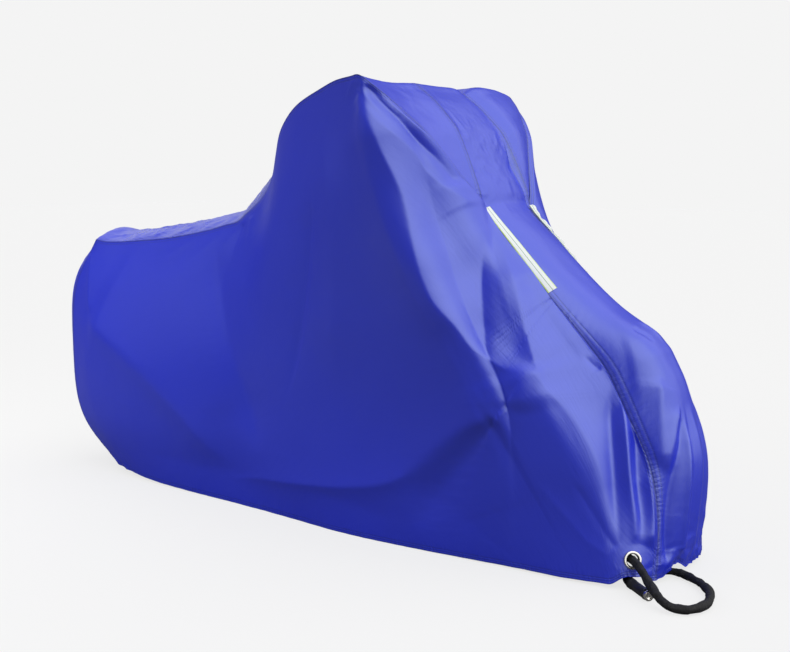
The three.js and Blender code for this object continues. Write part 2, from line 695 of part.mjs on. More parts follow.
const cloth = new THREE.MeshStandardMaterial({ color: 0x2b33b8, roughness: 0.45, metalness: 0 });
const tape = new THREE.MeshStandardMaterial({ color: 0xe8f0d8, roughness: 0.35, metalness: 0.1 });
const metal = new THREE.MeshStandardMaterial({ color: 0xc8c8c4, roughness: 0.25, metalness: 1 });
const sleeve = new THREE.MeshStandardMaterial({ color: 0x151517, roughness: 0.8, metalness: 0 });
const plastic = new THREE.MeshStandardMaterial({ color: 0x0c0c0d, roughness: 0.45, metalness: 0 });

const cover = new THREE.Group();
cover.position.x = BAR_AHEAD;

function add(name, geometry, material) {
  const mesh = new THREE.Mesh(geometry, material);
  mesh.name = name;
  cover.add(mesh);
}

add('centre_panel', centrePanelGeometry(), cloth);
for (const [side, word] of [[-1, 'right'], [1, 'left']]) {
  add(`side_panel_${word}`, cutSidePanelGeometry(side), cloth);
  add(`handlebar_gusset_${word}`, gussetGeometry(side), cloth);
  add(`reflective_strip_${word}`, tapeGeometry(side), tape);
  add(`eyelet_${word}`, eyeletGeometry(side), metal);
}
add('lock_strap', strapGeometry(), sleeve);
add('lock_body', lockBodyGeometry(), plastic);
add('lock_cap', lockCapGeometry(), metal);

const model = new THREE.Group();
model.add(cover);
export default model;
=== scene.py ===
# Looks of the draped motorcycle cover: cloth panels, tapes, eyelets, lock strap and lock
import math

import bpy
import numpy as np
from mathutils import Matrix, Vector


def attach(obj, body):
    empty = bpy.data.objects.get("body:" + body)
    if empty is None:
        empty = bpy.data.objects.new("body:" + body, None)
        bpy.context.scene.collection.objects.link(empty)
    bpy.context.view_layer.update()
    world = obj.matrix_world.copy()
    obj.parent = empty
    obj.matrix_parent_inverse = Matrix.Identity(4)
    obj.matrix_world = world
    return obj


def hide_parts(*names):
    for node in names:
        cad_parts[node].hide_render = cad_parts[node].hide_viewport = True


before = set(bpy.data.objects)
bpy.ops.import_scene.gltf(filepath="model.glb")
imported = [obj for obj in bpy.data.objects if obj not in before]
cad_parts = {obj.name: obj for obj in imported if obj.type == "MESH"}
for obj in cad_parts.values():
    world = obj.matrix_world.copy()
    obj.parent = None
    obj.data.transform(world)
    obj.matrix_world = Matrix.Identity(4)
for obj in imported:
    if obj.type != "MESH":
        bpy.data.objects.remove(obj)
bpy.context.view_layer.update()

# Sizes in mm. x is ahead of the handlebar line, half is the distance from the middle plane.
BAR_AHEAD = 364.6
PANEL_HALF = 125
TAPE_START_X = 204
TAPE_END_X = 393
TAPE_WIDTH = 22
BAR_TURN = 26
LEFT_DROP = 9
LEFT_DROP_FROM_Z = 900
GUSSET_BULGE = {-1: -6, 1: 12}
SHEET_IN = 0.6  # the sheets lie this far inside the solids' outer faces
HEM_TURN = 24  # cloth turned up inside the hem

# Edge seam: x, half, z, crown of the top
EDGE = np.array([
    (-1266, 122, 757, 36), (-1212, 125, 752, 32), (-1100, 125, 757, 38), (-930, 125, 772, 46),
    (-765, 125, 799, 46), (-690, 125, 817, 46), (-640, 127, 828, 50), (-603, 132, 849, 60),
    (-538, 145, 888, 76), (-492, 158, 926, 76), (-460, 172, 963, 64), (-428, 194, 1018, 44),
    (-398, 215, 1068, 24), (-371, 230, 1097, 14), (-320, 255, 1132, 6), (-268, 276, 1156, 2),
    (-180, 310, 1181, 0), (-101, 342, 1199, 0), (-30, 370, 1205, 0), (6, 383, 1206, 0),
    (30, 372, 1188, 0), (63, 345, 1155, 6), (92, 310, 1117, 12), (121, 275, 1078, 16),
    (147, 228, 1022, 18), (172, 183, 962, 20), (191, 148, 918, 21), (TAPE_START_X, 125, 882, 22),
    (300, 125, 776, 34), (TAPE_END_X, 125, 674, 48), (468, 125, 596, 66), (540, 125, 517, 104),
    (564, 125, 485, 110),
], float)

# Ribs: where they start on the edge seam, then x, half, z at four levels down to the hem
RIBS = [
    (-1266, (-1366, 128, 600), (-1380, 134, 400), (-1340, 140, 180), (-1178, 138, 28)),
    (-1190, (-1250, 162, 595), (-1262, 180, 395), (-1222, 180, 190), (-1080, 164, 18)),
    (-1030, (-1065, 178, 595), (-1075, 206, 400), (-1052, 206, 198), (-965, 180, 9)),
    (-845, (-850, 186, 605), (-855, 216, 408), (-845, 216, 205), (-805, 190, 4)),
    (-665, (-660, 194, 620), (-655, 224, 412), (-650, 222, 208), (-640, 200, 2)),
    (-540, (-525, 210, 660), (-512, 230, 435), (-500, 226, 218), (-490, 212, 1)),
    (-420, (-395, 246, 790), (-375, 248, 525), (-355, 238, 260), (-340, 228, 1)),
    (-215, (-205, 300, 905), (-190, 276, 615), (-165, 252, 310), (-150, 250, 1)),
    (-60, (-44, 344, 925), (-10, 306, 635), (45, 262, 325), (80, 254, 2)),
    (6, (54, 362, 920), (150, 330, 665), (300, 284, 365), (290, 248, 4)),
    (110, (150, 260, 850), (245, 268, 640), (372, 262, 400), (400, 246, 6)),
    (185, (262, 205, 745), (350, 232, 560), (470, 238, 345), (500, 246, 7)),
    (270, (350, 176, 665), (445, 205, 480), (560, 222, 240), (592, 236, 9)),
    (420, (480, 150, 540), (540, 182, 380), (610, 208, 190), (640, 228, 11)),
    (500, (560, 142, 445), (612, 160, 310), (658, 180, 150), (680, 200, 12)),
    (564, (620, 126, 382), (674, 126, 272), (700, 132, 150), (706, 150, 12)),
]
LEVEL_AT = np.array([0, 0.25, 0.5, 0.75, 1])
TAIL_CROWN = (36, 96, 100, 96, 60)
FRONT_CROWN = (110, 104, 82, 50, 22)

LEFT_FOLD_SHIFT = -45
FAR_VALLEY = 14  # depth of the valley along the left seam between the centre panel and its gusset

# Creases of the sheets: points, reach on the left and right of the way they run, rise, rounding of
# the edge, and the shares of their length over which they fade in and out
SIDE_CREASES = [  # points are x, z of the side view
    # ridge from the bar end down to the eyelet
    ([(-4, 1190), (28, 1100), (50, 1026), (78, 944), (124, 795), (180, 666), (238, 595), (292, 533),
      (348, 500), (401, 484)], 110, 40, 36, 2, 0.17, 0.30),
    ([(292, 533), (348, 500), (401, 484), (445, 439), (487, 403), (543, 326), (581, 259), (607, 186),
      (630, 118), (645, 77)], 60, 120, 26, 6, 0.24, 0.50),
    # wedge under the tape: valley behind, crest ahead
    ([(236, 830), (251, 761), (265, 688), (283, 615), (299, 553), (318, 490)], 26, 60, -20, 5, 0.35, 0.35),
    ([(232, 836), (278, 770), (337, 666), (379, 574), (409, 508), (437, 448)], 60, 36, 18, 4, 0.45, 0.25),
    # fold from the footrest to the hem, and the hollow under it
    ([(354, 392), (336, 387), (279, 362), (188, 298), (81, 207), (-7, 164), (-143, 133), (-309, 113),
      (-486, 97), (-628, 73)], 46, 80, 19, 5, 0.06, 0.30),
    ([(356, 374), (302, 338), (249, 285), (157, 180), (112, 100), (78, 44)], 90, 36, -20, 5, 0.08, 0.35),
    # the hollow ahead of the footrest is filled, so no crest runs down to it
    ([(372, 512), (384, 474), (394, 436), (398, 392)], 60, 36, 11, 12, 0.35, 0.35),
    # soft lines of the middle and the rear
    ([(-205, 930), (-256, 686), (-303, 501), (-364, 330)], 14, 34, -6.5, 3, 0.20, 0.35),
    ([(-150, 1120), (-140, 800), (-160, 560), (-190, 340)], 60, 70, 8, 20, 0.25, 0.35),
    ([(-1270, 520), (-1089, 431), (-938, 356), (-785, 257), (-678, 175), (-575, 111)], 130, 70, 19, 20, 0.12, 0.25),
    ([(-727, 770), (-649, 585), (-597, 472), (-510, 290), (-473, 165)], 70, 60, -15, 20, 0.20, 0.25),
    ([(-1292, 720), (-1272, 640), (-1256, 570), (-1236, 500)], 16, 12, 5, 3, 0.10, 0.25),
    ([(-640, 800), (-668, 760), (-690, 700)], 10, 12, 3, 3, 0.05, 0.70),
    ([(-600, 824), (-622, 770), (-628, 700)], 8, 10, -3.5, 3, 0.05, 0.70),
    ([(-560, 850), (-560, 790), (-548, 700)], 10, 12, 2.6, 3, 0.05, 0.70),
    ([(-700, 790), (-780, 730), (-850, 690)], 10, 12, 2, 3, 0.05, 0.70),
    ([(-820, 770), (-890, 730), (-950, 700)], 9, 10, 1.6, 3, 0.05, 0.70),
    # the bar end: a narrow trough beside the seam and the line that bounds it
    ([(14, 1186), (40, 1158), (75, 1108), (99, 1066), (137, 1010), (170, 950), (184, 926)], 9, 10, -11, 3, 0.08, 0.12),
    ([(4, 1166), (43, 1101), (76, 1058), (104, 1018), (126, 974), (161, 930), (189, 902), (208, 880)],
     6, 34, 3.5, 1.5, 0.05, 0.06),
    ([(6, 1180), (34, 1140), (60, 1108)], 6, 6, 3, 1.5, 0.10, 0.45),
    ([(0, 1186), (14, 1150), (22, 1110)], 5, 6, -3, 1.5, 0.10, 0.45),
    ([(-14, 1196), (-34, 1174), (-52, 1140)], 6, 6, 2.5, 2, 0.10, 0.60),
    ([(10, 1192), (26, 1170), (52, 1146), (84, 1102)], 4, 5, 2.5, 1.5, 0.10, 0.30),
    # beside the front seam
    ([(330, 716), (360, 680), (441, 580), (500, 512)], 12, 30, -5, 8, 0.15, 0.20),
    ([(500, 530), (522, 510), (544, 494)], 6, 6, -3.5, 3, 0.30, 0.25),
    # stripes that gather towards the eyelet
    ([(566, 470), (580, 390), (598, 300), (620, 200), (643, 84)], 18, 18, -17, 7, 0.25, 0.40),
    ([(592, 440), (618, 340), (635, 262), (659, 158), (670, 80)], 14, 12, 18, 5, 0.25, 0.40),
    ([(612, 430), (636, 344), (655, 240), (672, 160), (682, 84)], 18, 12, -18, 6, 0.25, 0.40),
    ([(680, 290), (686, 226), (689, 155), (692, 86), (697, 44)], 12, 12, 12, 4, 0.20, 0.10),
    ([(430, 240), (500, 170), (560, 110), (620, 74)], 14, 20, 2.5, 5, 0.30, 0.10),
    ([(520, 250), (570, 180), (612, 120), (640, 84)], 10, 12, -3, 4, 0.30, 0.10),
    ([(-980, 100), (-560, 96), (-240, 104), (60, 60)], 60, 40, -4, 16, 0.20, 0.20),
]
FRONT_CREASES = [  # points are y, z of the front view, on the centre panel
    ([(-60, 486), (-71, 463), (-96, 362), (-111, 269)], 14, 12, 8, 4, 0.15, 0.20),
    ([(-36, 420), (-60, 380), (-90, 316), (-108, 255)], 7, 7, 6, 3, 0.20, 0.20),
    ([(-34, 420), (-62, 340), (-88, 280), (-104, 223), (-116, 120), (-108, 37)], 18, 10, -13, 4, 0.20, 0.10),
    ([(-26, 400), (-46, 320), (-57, 250), (-62, 169), (-62, 40)], 8, 9, 11, 3, 0.20, 0.08),
    ([(-8, 430), (-26, 320), (-34, 200), (-30, 60)], 12, 14, -5, 5, 0.25, 0.15),
    ([(14, 420), (6, 300), (2, 160), (8, 40)], 12, 12, 5, 5, 0.25, 0.10),
    ([(40, 430), (38, 300), (34, 160), (40, 40)], 12, 12, -5, 5, 0.25, 0.10),
    ([(64, 440), (70, 330), (72, 180), (66, 40)], 10, 10, 5, 4, 0.25, 0.10),
    ([(84, 460), (98, 330), (102, 180), (96, 40)], 10, 10, -5, 4, 0.25, 0.10),
]
TOP_CREASES = [  # points are x, y of the centre panel seen from above
    ([(610, -118), (628, -86), (660, -40), (684, 8), (668, 60), (630, 112)], 40, 44, 5, 14, 0.10, 0.10),
    ([(158, -150), (166, -57), (167, 60), (158, 150)], 70, 60, -13, 9, 0.15, 0.15),
    ([(96, 150), (130, 132), (152, 118), (176, 98), (200, 84)], 10, 10, -6, 4, 0.15, 0.20),
    ([(104, 124), (136, 112), (166, 96)], 8, 8, 3, 3, 0.20, 0.30),
    ([(579, -44), (600, -36), (616, -28), (632, -22)], 7, 9, -4, 2.5, 0.25, 0.25),
    ([(600, 60), (616, 84), (622, 106)], 8, 8, -4, 3, 0.25, 0.25),
    ([(566, 14), (600, 26), (640, 30)], 8, 10, 3, 3, 0.25, 0.40),
]

EYELETS = {  # centre, outward direction
    -1: ((667, -200.1, 68), (0.6359, -0.7261, 0.2615)),
    1: ((667, 189.8, 68), (0.7705, 0.6157, 0.1652)),
}
EYELET_PAD = 26
EYELET_FADE = 34
HEM_LIFTS = [(670, -206, 18), (724, -68, 19)]
LIFT_FLAT = 15
LIFT_REACH = 40
LIFT_HEIGHT = 110

LOCK_TIP = Vector((738, -264, 13.4))
LOCK_WAY = Vector((0.77, -0.638, 0)).normalized()
LOCK_LENGTH = 96
LOCK_GAP = 0.4
LOCK_CAP = 12
LOCK_RADIUS = 13
STRAP_RADIUS = 11.5
STRAP_ROUTE = [
    (652.2, -192.9, 13.3), (640.5, -170, 12.7), (636, -142, 12), (641, -114, 11.8), (656, -90, 11.8),
    (680, -73, 11.8), (708, -66, 11.8), (742, -70, 11.8), (774, -88, 11.8), (806, -114, 11.8),
    (834, -147, 11.8), (852, -188, 11.8), (859, -230, 11.8), (853, -268, 11.8), (831, -294, 12.2),
    (799, -302, 16.5), (768, -288, 27), (741, -264, 39), (716, -241, 50), (694, -221, 61.5),
    (679, -209, 67), (667, -199.5, 68), (648, -184, 67), (626, -160, 63), (606, -132, 52),
    (588, -104, 37), (568, -80, 22), (544, -60, 13), (514, -46, 11.8),
]


def smoothstep(value):
    t = np.clip(value, 0, 1)
    return t * t * (3 - 2 * t)


def curve_at(knots, rows, t):
    """Cubic curve through rows of numbers at rising knots."""
    knots, rows, t = np.asarray(knots, float), np.asarray(rows, float), np.asarray(t, float)
    k = np.clip(np.searchsorted(knots, t, side="left") - 1, 0, len(knots) - 2)
    slopes = np.empty_like(rows)
    slopes[1:-1] = (rows[2:] - rows[:-2]) / (knots[2:] - knots[:-2])[:, None]
    slopes[0] = (rows[1] - rows[0]) / (knots[1] - knots[0])
    slopes[-1] = (rows[-1] - rows[-2]) / (knots[-1] - knots[-2])
    span = (knots[k + 1] - knots[k])[..., None]
    f = (t - knots[k])[..., None] / span
    return ((2 * f**3 - 3 * f**2 + 1) * rows[k] + (f**3 - 2 * f**2 + f) * span * slopes[k]
            + (3 * f**2 - 2 * f**3) * rows[k + 1] + (f**3 - f**2) * span * slopes[k + 1])


edge_steps = np.linalg.norm(np.diff(EDGE[:, :3], axis=0), axis=1)
edge_knots = np.concatenate([[0], np.cumsum(edge_steps)])
EDGE_LENGTH = edge_knots[-1]
edge_knots = edge_knots / EDGE_LENGTH
rib_knots = np.interp([rib[0] for rib in RIBS], EDGE[:, 0], edge_knots)


def smooth_side(u, v):
    """Grid of x, half, z; u runs forward along the edge seam, v down to the hem."""
    top = curve_at(edge_knots, EDGE, u)[:, :3]
    levels = [top] + [curve_at(rib_knots, [rib[level] for rib in RIBS], u) for level in (1, 2, 3, 4)]
    flat = curve_at(LEVEL_AT, np.stack(levels).reshape(5, -1), v)
    return flat.reshape(len(v), len(u), 3).transpose(1, 0, 2)


def sided(points, side):
    points = np.array(points, float)
    if side > 0:
        out = np.clip((points[..., 1] - PANEL_HALF) / (EDGE[:, 1].max() - PANEL_HALF), 0, 1)
        up = np.clip((points[..., 2] - LEFT_DROP_FROM_Z) / 300, 0, 1)
        points[..., 0] -= BAR_TURN * out
        points[..., 2] -= LEFT_DROP * out * up
    points[..., 1] *= side
    return points


def crease_field(p, q, creases):
    """Height of sharp-edged creases at points of a view."""
    total = np.zeros_like(p)
    for line, left, right, rise, edge, fade_in, fade_out in creases:
        line = np.array(line, float)
        knots = np.concatenate([[0], np.cumsum(np.linalg.norm(np.diff(line, axis=0), axis=1))])
        line = curve_at(knots, line, np.linspace(0, knots[-1], 5 * len(line)))
        margin = 5 * max(left, right)
        near = ((p > line[:, 0].min() - margin) & (p < line[:, 0].max() + margin)
                & (q > line[:, 1].min() - margin) & (q < line[:, 1].max() + margin))
        pn, qn = p[near], q[near]
        best, reach, share = np.full(pn.shape, 1e9), np.zeros(pn.shape), np.zeros(pn.shape)
        for i, (start, step) in enumerate(zip(line[:-1], np.diff(line, axis=0))):
            length = math.hypot(*step)
            along = np.clip(((pn - start[0]) * step[0] + (qn - start[1]) * step[1]) / length, 0, length)
            off_p, off_q = pn - start[0] - along * step[0] / length, qn - start[1] - along * step[1] / length
            off = np.hypot(off_p, off_q)
            closer = off < best
            best = np.where(closer, off, best)
            reach = np.where(closer, np.where(step[0] * off_q - step[1] * off_p > 0, left, right), reach)
            share = np.where(closer, (i + along / length) / (len(line) - 1), share)
        fade = smoothstep(share / fade_in) * smoothstep((1 - share) / fade_out)
        width = reach * (0.3 + 0.7 * fade)
        total[near] += rise * fade * np.exp(-(np.sqrt(best**2 + edge**2) - edge) / width)
    return total


def lattice_noise(p, q, seed):
    """Smooth noise from -1 to 1 with unit cells."""
    table = np.random.default_rng(seed).uniform(-1, 1, (256, 256))
    i, j = np.floor(p).astype(int), np.floor(q).astype(int)
    f, g = smoothstep(p - i), smoothstep(q - j)
    a, b = table[i % 256, j % 256], table[(i + 1) % 256, j % 256]
    c, d = table[i % 256, (j + 1) % 256], table[(i + 1) % 256, (j + 1) % 256]
    return (a * (1 - f) + b * f) * (1 - g) + (c * (1 - f) + d * f) * g


def crumple(p, q, cell, seed, octaves=3):
    """Sharp-ridged crumples of about unit height, cell mm apart."""
    total, size = 0, 1.0
    for k in range(octaves):
        bend = lattice_noise(p / cell * 0.7 + 5, q / cell * 0.7, seed + 10 + k)
        ridge = 1 - 2 * np.abs(lattice_noise(p / cell + bend * 0.6, q / cell - bend * 0.5, seed + k))
        total = total + size * (ridge - 0.35)
        cell, size = cell * 0.52, size * 0.45
    return total


def grid_normals(grid, sign):
    across = np.gradient(grid, axis=0)
    down = np.gradient(grid, axis=1)
    normal = np.cross(across, down) * sign
    return normal / np.maximum(np.linalg.norm(normal, axis=2, keepdims=True), 1e-9)


def hem_lift(points, hem_points):
    lift = 0
    for x, y, rise in HEM_LIFTS:
        away = np.hypot(hem_points[..., 0] - x, hem_points[..., 1] - y)
        lift = lift + rise * (1 - smoothstep((away - LIFT_FLAT) / LIFT_REACH))
    return lift * (1 - smoothstep((points[..., 2] - hem_points[..., 2]) / LIFT_HEIGHT))


def path_length(grid, axis):
    step = np.linalg.norm(np.diff(grid, axis=axis), axis=2)
    zero = np.zeros_like(np.take(step, [0], axis=axis))
    return np.concatenate([zero, np.cumsum(step, axis=axis)], axis=axis)


def spaced(weight, count):
    """Shares from 0 to 1, closer together where weight, a function of the share, is larger."""
    t = np.linspace(0, 1, 2000)
    total = np.concatenate([[0], np.cumsum((weight(t[1:]) + weight(t[:-1])) / 2)])
    return np.interp(np.linspace(0, total[-1], count), total, t)


COLUMNS = 440  # along a side panel
ROWS = 222  # down a side panel
tape_from, tape_to = (np.interp(x, EDGE[:, 0], edge_knots) for x in (TAPE_START_X, TAPE_END_X))
u_shares = spaced(lambda t: 1 + 1.3 * smoothstep((t - 0.45) / 0.3), COLUMNS)
v_shares = spaced(lambda t: 1 + 0.9 * smoothstep((t - 0.85) / 0.15) + 0.4 * smoothstep((0.08 - t) / 0.08), ROWS)


def side_surface(side):
    """Outer face of a side panel with its folds, and how far each point is from seams and hem."""
    smooth = sided(smooth_side(u_shares, v_shares), side)
    normals = grid_normals(smooth, side)
    from_top = np.linalg.norm(smooth - smooth[:, :1], axis=2)
    from_tail = np.linalg.norm(smooth - smooth[:1], axis=2)
    from_front = np.linalg.norm(smooth - smooth[-1:], axis=2)
    near_seam = np.minimum(np.minimum(from_top, from_tail), from_front)
    x, z = smooth[..., 0], smooth[..., 2]
    away = np.hypot(x - 667, z - 68)
    pad = smoothstep((away - EYELET_PAD) / 14)
    wide_pad = smoothstep((away - EYELET_PAD) / EYELET_FADE)
    fold_x = x - LEFT_FOLD_SHIFT if side > 0 else x
    rise = crease_field(fold_x, z, SIDE_CREASES) * smoothstep(near_seam / 15) * wide_pad
    seed = 40 if side > 0 else 7
    soft = lattice_noise(x / 150, z / 210, seed) * 1.2 + lattice_noise(x / 60, z / 80, seed + 1) * 0.35
    small = crumple(x, z * 0.7, 70, seed + 2) * 0.22
    rise = rise + (soft + small) * smoothstep(near_seam / 60)
    along_hem = path_length(smooth, 0)[:, -1]
    above_hem = path_length(smooth, 1)[:, -1:] - path_length(smooth, 1)
    gathers = np.exp(-((x - 700) / 48)**2) + 0.8 * np.exp(-((x + 1160) / 90)**2)
    wave = np.sin(along_hem[:, None] / 8.5 + 2.2 * lattice_noise(along_hem[:, None] / 40, above_hem / 60, seed + 5))
    rise = rise + gathers * 2.6 * wave * np.exp(-above_hem / 34)
    knot = crumple(along_hem[:, None] + 0 * above_hem, above_hem * 0.8, 40, seed + 8, 2)
    rise = rise + gathers * 5.5 * knot * np.exp(-above_hem / 32)
    small_wave = np.sin(along_hem[:, None] / 11 + 3 * lattice_noise(along_hem[:, None] / 60, 0 * above_hem, seed + 6))
    rise = rise + 0.5 * small_wave * np.exp(-above_hem / 16)
    rise = rise * pad
    moved = smooth + normals * rise[..., None]
    moved[:, -1, 2] = smooth[:, -1, 2]
    moved[..., 2] += hem_lift(smooth, smooth[:, -1:])
    seam_way = np.where(from_top <= near_seam + 1e-6, path_length(smooth, 0),
                        np.where(from_tail <= near_seam + 1e-6, -path_length(smooth, 1), 4000 + path_length(smooth, 1)))
    return moved, near_seam, seam_way, above_hem, along_hem[:, None] + 0 * above_hem


def seam_of(side, surface):
    tail, top, front = surface[0][::-1], surface[:, 0][1:], surface[-1][1:]
    return np.concatenate([tail, top, front])


surfaces = {side: side_surface(side) for side in (-1, 1)}
seams = {side: seam_of(side, surfaces[side][0]) for side in (-1, 1)}
crowns = np.concatenate([
    curve_at(LEVEL_AT, np.array(TAIL_CROWN, float)[:, None], v_shares)[::-1, 0],
    curve_at(edge_knots, EDGE, u_shares)[1:, 3],
    curve_at(LEVEL_AT, np.array(FRONT_CROWN, float)[:, None], v_shares)[1:, 0],
])
is_top = np.concatenate([np.zeros(ROWS, bool), np.ones(COLUMNS - 1, bool), np.zeros(ROWS - 1, bool)])
profile = (seams[-1] + seams[1]) / 2
profile_way = np.gradient(profile[:, [0, 2]], axis=0)
profile_way /= np.linalg.norm(profile_way, axis=1)[:, None]
profile_normal = np.stack([-profile_way[:, 1], profile_way[:, 0]], 1)


def top_points(k, side, share):
    """Points of the top surface at seam points k, at shares of the way from the middle to one side's seam."""
    seam = seams[side][k]
    half = np.abs(seam[..., 1])
    y = side * share * half
    across = np.clip((np.abs(y) - PANEL_HALF) / np.maximum(1, half - PANEL_HALF), 0, 1)
    wide = np.clip((half - PANEL_HALF) / 200, 0, 1)
    flat = smoothstep((profile[k][..., 0] - 150) / 150)
    dome = (1 - flat) * (1 - share**2) + 0.92 * flat * (1 - np.abs(share)**3)
    lift = crowns[k] * dome + GUSSET_BULGE[side] * 4 * across * (1 - across) * wide
    if side > 0:
        lift = lift - FAR_VALLEY * wide * np.exp(-((np.abs(y) - PANEL_HALF) / 34)**2)
    middle = profile[k]
    x = middle[..., 0] + (seam[..., 0] - middle[..., 0]) * share**2 + profile_normal[k, 0] * lift
    z = middle[..., 2] + (seam[..., 2] - middle[..., 2]) * share**2 + profile_normal[k, 1] * lift
    is_hem = (k == 0) | (k == len(profile) - 1)
    z = np.where(is_hem, seam[..., 2], z)
    return np.stack([x, y, z], -1)


def mesh_object(name, grid, faces_flipped, attributes, keep=None, cut=None):
    """A sheet from a grid of points in mm. keep drops faces whose middle it refuses."""
    rows, columns = grid.shape[:2]
    index = np.arange(rows * columns).reshape(rows, columns)
    quads = np.stack([index[:-1, :-1], index[1:, :-1], index[1:, 1:], index[:-1, 1:]], -1).reshape(-1, 4)
    if faces_flipped:
        quads = quads[:, ::-1]
    points = grid.reshape(-1, 3).copy()
    points[:, 2] = np.maximum(points[:, 2], 0.6)
    if keep is not None:
        quads = quads[keep(points[quads].mean(1))]
    place = (points + np.array([BAR_AHEAD, 0, 0])) * 0.001
    mesh = bpy.data.meshes.new(name)
    mesh.from_pydata(place.tolist(), [], quads.tolist())
    for key, values in attributes.items():
        layer = mesh.attributes.new(key, "FLOAT", "POINT")
        layer.data.foreach_set("value", np.ascontiguousarray(values, float).reshape(-1))
    if cut is not None:
        layer = mesh.uv_layers.new(name="cut")
        corners = np.empty(len(mesh.loops), int)
        mesh.loops.foreach_get("vertex_index", corners)
        layer.data.foreach_set("uv", (cut.reshape(-1, 2)[corners] * 0.001).reshape(-1))
    mesh.polygons.foreach_set("use_smooth", np.ones(len(mesh.polygons), bool))
    mesh.update()
    obj = bpy.data.objects.new(name, mesh)
    bpy.context.scene.collection.objects.link(obj)
    if keep is not None:
        loose = [v.index for v in mesh.vertices]
        import bmesh
        work = bmesh.new()
        work.from_mesh(mesh)
        bmesh.ops.delete(work, geom=[v for v in work.verts if not v.link_faces], context="VERTS")
        work.to_mesh(mesh)
        work.free()
    return obj


def flat_coordinates(grid):
    """Position of each point on the cut cloth, in mm, by path lengths along and across."""
    return np.stack([path_length(grid, 0), path_length(grid, 1)], -1)


def surface_area(grid):
    a, b = grid[1:, 1:] - grid[:-1, :-1], grid[1:, :-1] - grid[:-1, 1:]
    return np.linalg.norm(np.cross(a, b), axis=2).sum() / 2 * 1e-6


def off_eyelet(side):
    centre, way = (np.array(v, float) for v in EYELETS[side])

    def keep(middles):
        off = middles - centre
        along = off @ way
        away = np.linalg.norm(off - along[:, None] * way, axis=1)
        return (away > 18) | (np.abs(along) > 30)
    return keep


# Turned-up hem: the last rows run back up inside the cloth
def with_hem(grid, normals, columns_at_end):
    last = grid[:, -1:]
    inward = -normals[:, -1:].copy()
    inward[..., 2] = 0
    inward /= np.maximum(np.linalg.norm(inward, axis=2, keepdims=True), 1e-9)
    turned = [last + inward * 0.8 + np.array([0, 0, -0.5])]
    for share in (0.06, 0.5, 1.0):
        source = grid[:, -1 - columns_at_end:-columns_at_end] if share == 1.0 else None
        up = last + (grid[:, -1 - columns_at_end:-columns_at_end] - last) * share
        turned.append(up + inward * (1.6 + 0.6 * share))
    return np.concatenate([grid] + turned, axis=1)


HEM_ROWS = 6
sheets = {}
for side, word in ((-1, "right"), (1, "left")):
    surface, near_seam, seam_way, above_hem, along_hem = surfaces[side]
    normals = grid_normals(surface, side)
    inner = surface - normals * SHEET_IN
    inner[..., 2] = np.maximum(inner[..., 2], 1.2)
    grid = with_hem(inner, normals, HEM_ROWS)
    extra = grid.shape[1] - inner.shape[1]
    pad = lambda values: np.concatenate([values, np.repeat(values[:, -1:], extra, 1)], 1)
    obj = mesh_object(
        f"side_sheet_{word}", grid, side < 0,
        {"near_seam": pad(near_seam), "seam_way": pad(seam_way), "above_hem": pad(above_hem),
         "along_hem": pad(along_hem), "crumpled": pad(0 * near_seam)},
        keep=off_eyelet(side), cut=flat_coordinates(grid))
    size = path_length(inner, 0)[-1].max(), path_length(inner, 1)[:, -1].max()
    sheets[obj.name] = (obj, [f"side_panel_{word}"], size)

# Centre panel, from the rear hem over the top to the front hem
half_seam = np.abs(seams[1][:, 1])
is_gusseted = is_top & (half_seam > PANEL_HALF + 0.5) & (profile[:, 0] > -700) & (profile[:, 0] < TAPE_START_X)
panel_half = np.where(is_gusseted, PANEL_HALF, half_seam)
ACROSS = 72
k_rows = np.arange(len(profile))[:, None]
across_shares = np.linspace(-1, 1, ACROSS)[None, :]
centre = np.where(
    (across_shares < 0)[..., None],
    top_points(k_rows, -1, np.abs(across_shares) * (panel_half / half_seam)[:, None]),
    top_points(k_rows, 1, np.abs(across_shares) * (panel_half / half_seam)[:, None]))
centre_length = path_length(centre, 0)
centre_normals = grid_normals(centre, 1)
centre_normals *= np.sign((centre_normals[..., [0, 2]] * profile_normal[:, None]).sum(-1, keepdims=True))
x, y, z = centre[..., 0], centre[..., 1], centre[..., 2]
way = centre_length.mean(1)[:, None]
edge_fade = smoothstep((panel_half[:, None] - np.abs(y)) / 26)
SEAT = np.exp(-((x + 980) / 300)**2) * (z > 650)
HUMP_BACK = np.exp(-((x + 520) / 110)**2) * (z > 700)
HUMP_FRONT = np.exp(-((x - 150) / 90)**2) * (z > 850)
from_front_hem = way[-1] - way
from_rear_hem = way
FRONT_HEM = np.exp(-from_front_hem / 60)
REAR_HEM = np.exp(-from_rear_hem / 70)
rise = lattice_noise(way / 120, y / 90, 21) * 1.4
rise = rise + crumple(way, y, 46, 22) * (0.15 + 3.4 * SEAT + 3.6 * HUMP_BACK + 1.2 * HUMP_FRONT)
rise = rise * edge_fade
rise = rise + crumple(y * 1.4, way * 0.8, 40, 24, 2) * (4.5 * FRONT_HEM + 4 * REAR_HEM) * smoothstep((panel_half[:, None] - np.abs(y)) / 12)
to_seam = panel_half[:, None] - np.abs(y)
beat = 0.5 + 0.5 * lattice_noise(way / 60, np.sign(y) * 3 + 0 * way, 27)
front_run = smoothstep((x - 380) / 60) * smoothstep((z - 200) / 60)
rise = rise + 1.0 * front_run * beat * np.sin((way + 0.9 * to_seam) / 3.9) * np.exp(-to_seam / 15) * smoothstep(to_seam / 5)
top_run = smoothstep((z - 880) / 60) * (x > -60)
rise = rise + 1.1 * top_run * beat * np.sin((way + 0.5 * to_seam) / 2.7) * np.exp(-to_seam / 9) * smoothstep(to_seam / 4)
is_front = smoothstep((x - 560) / 40)
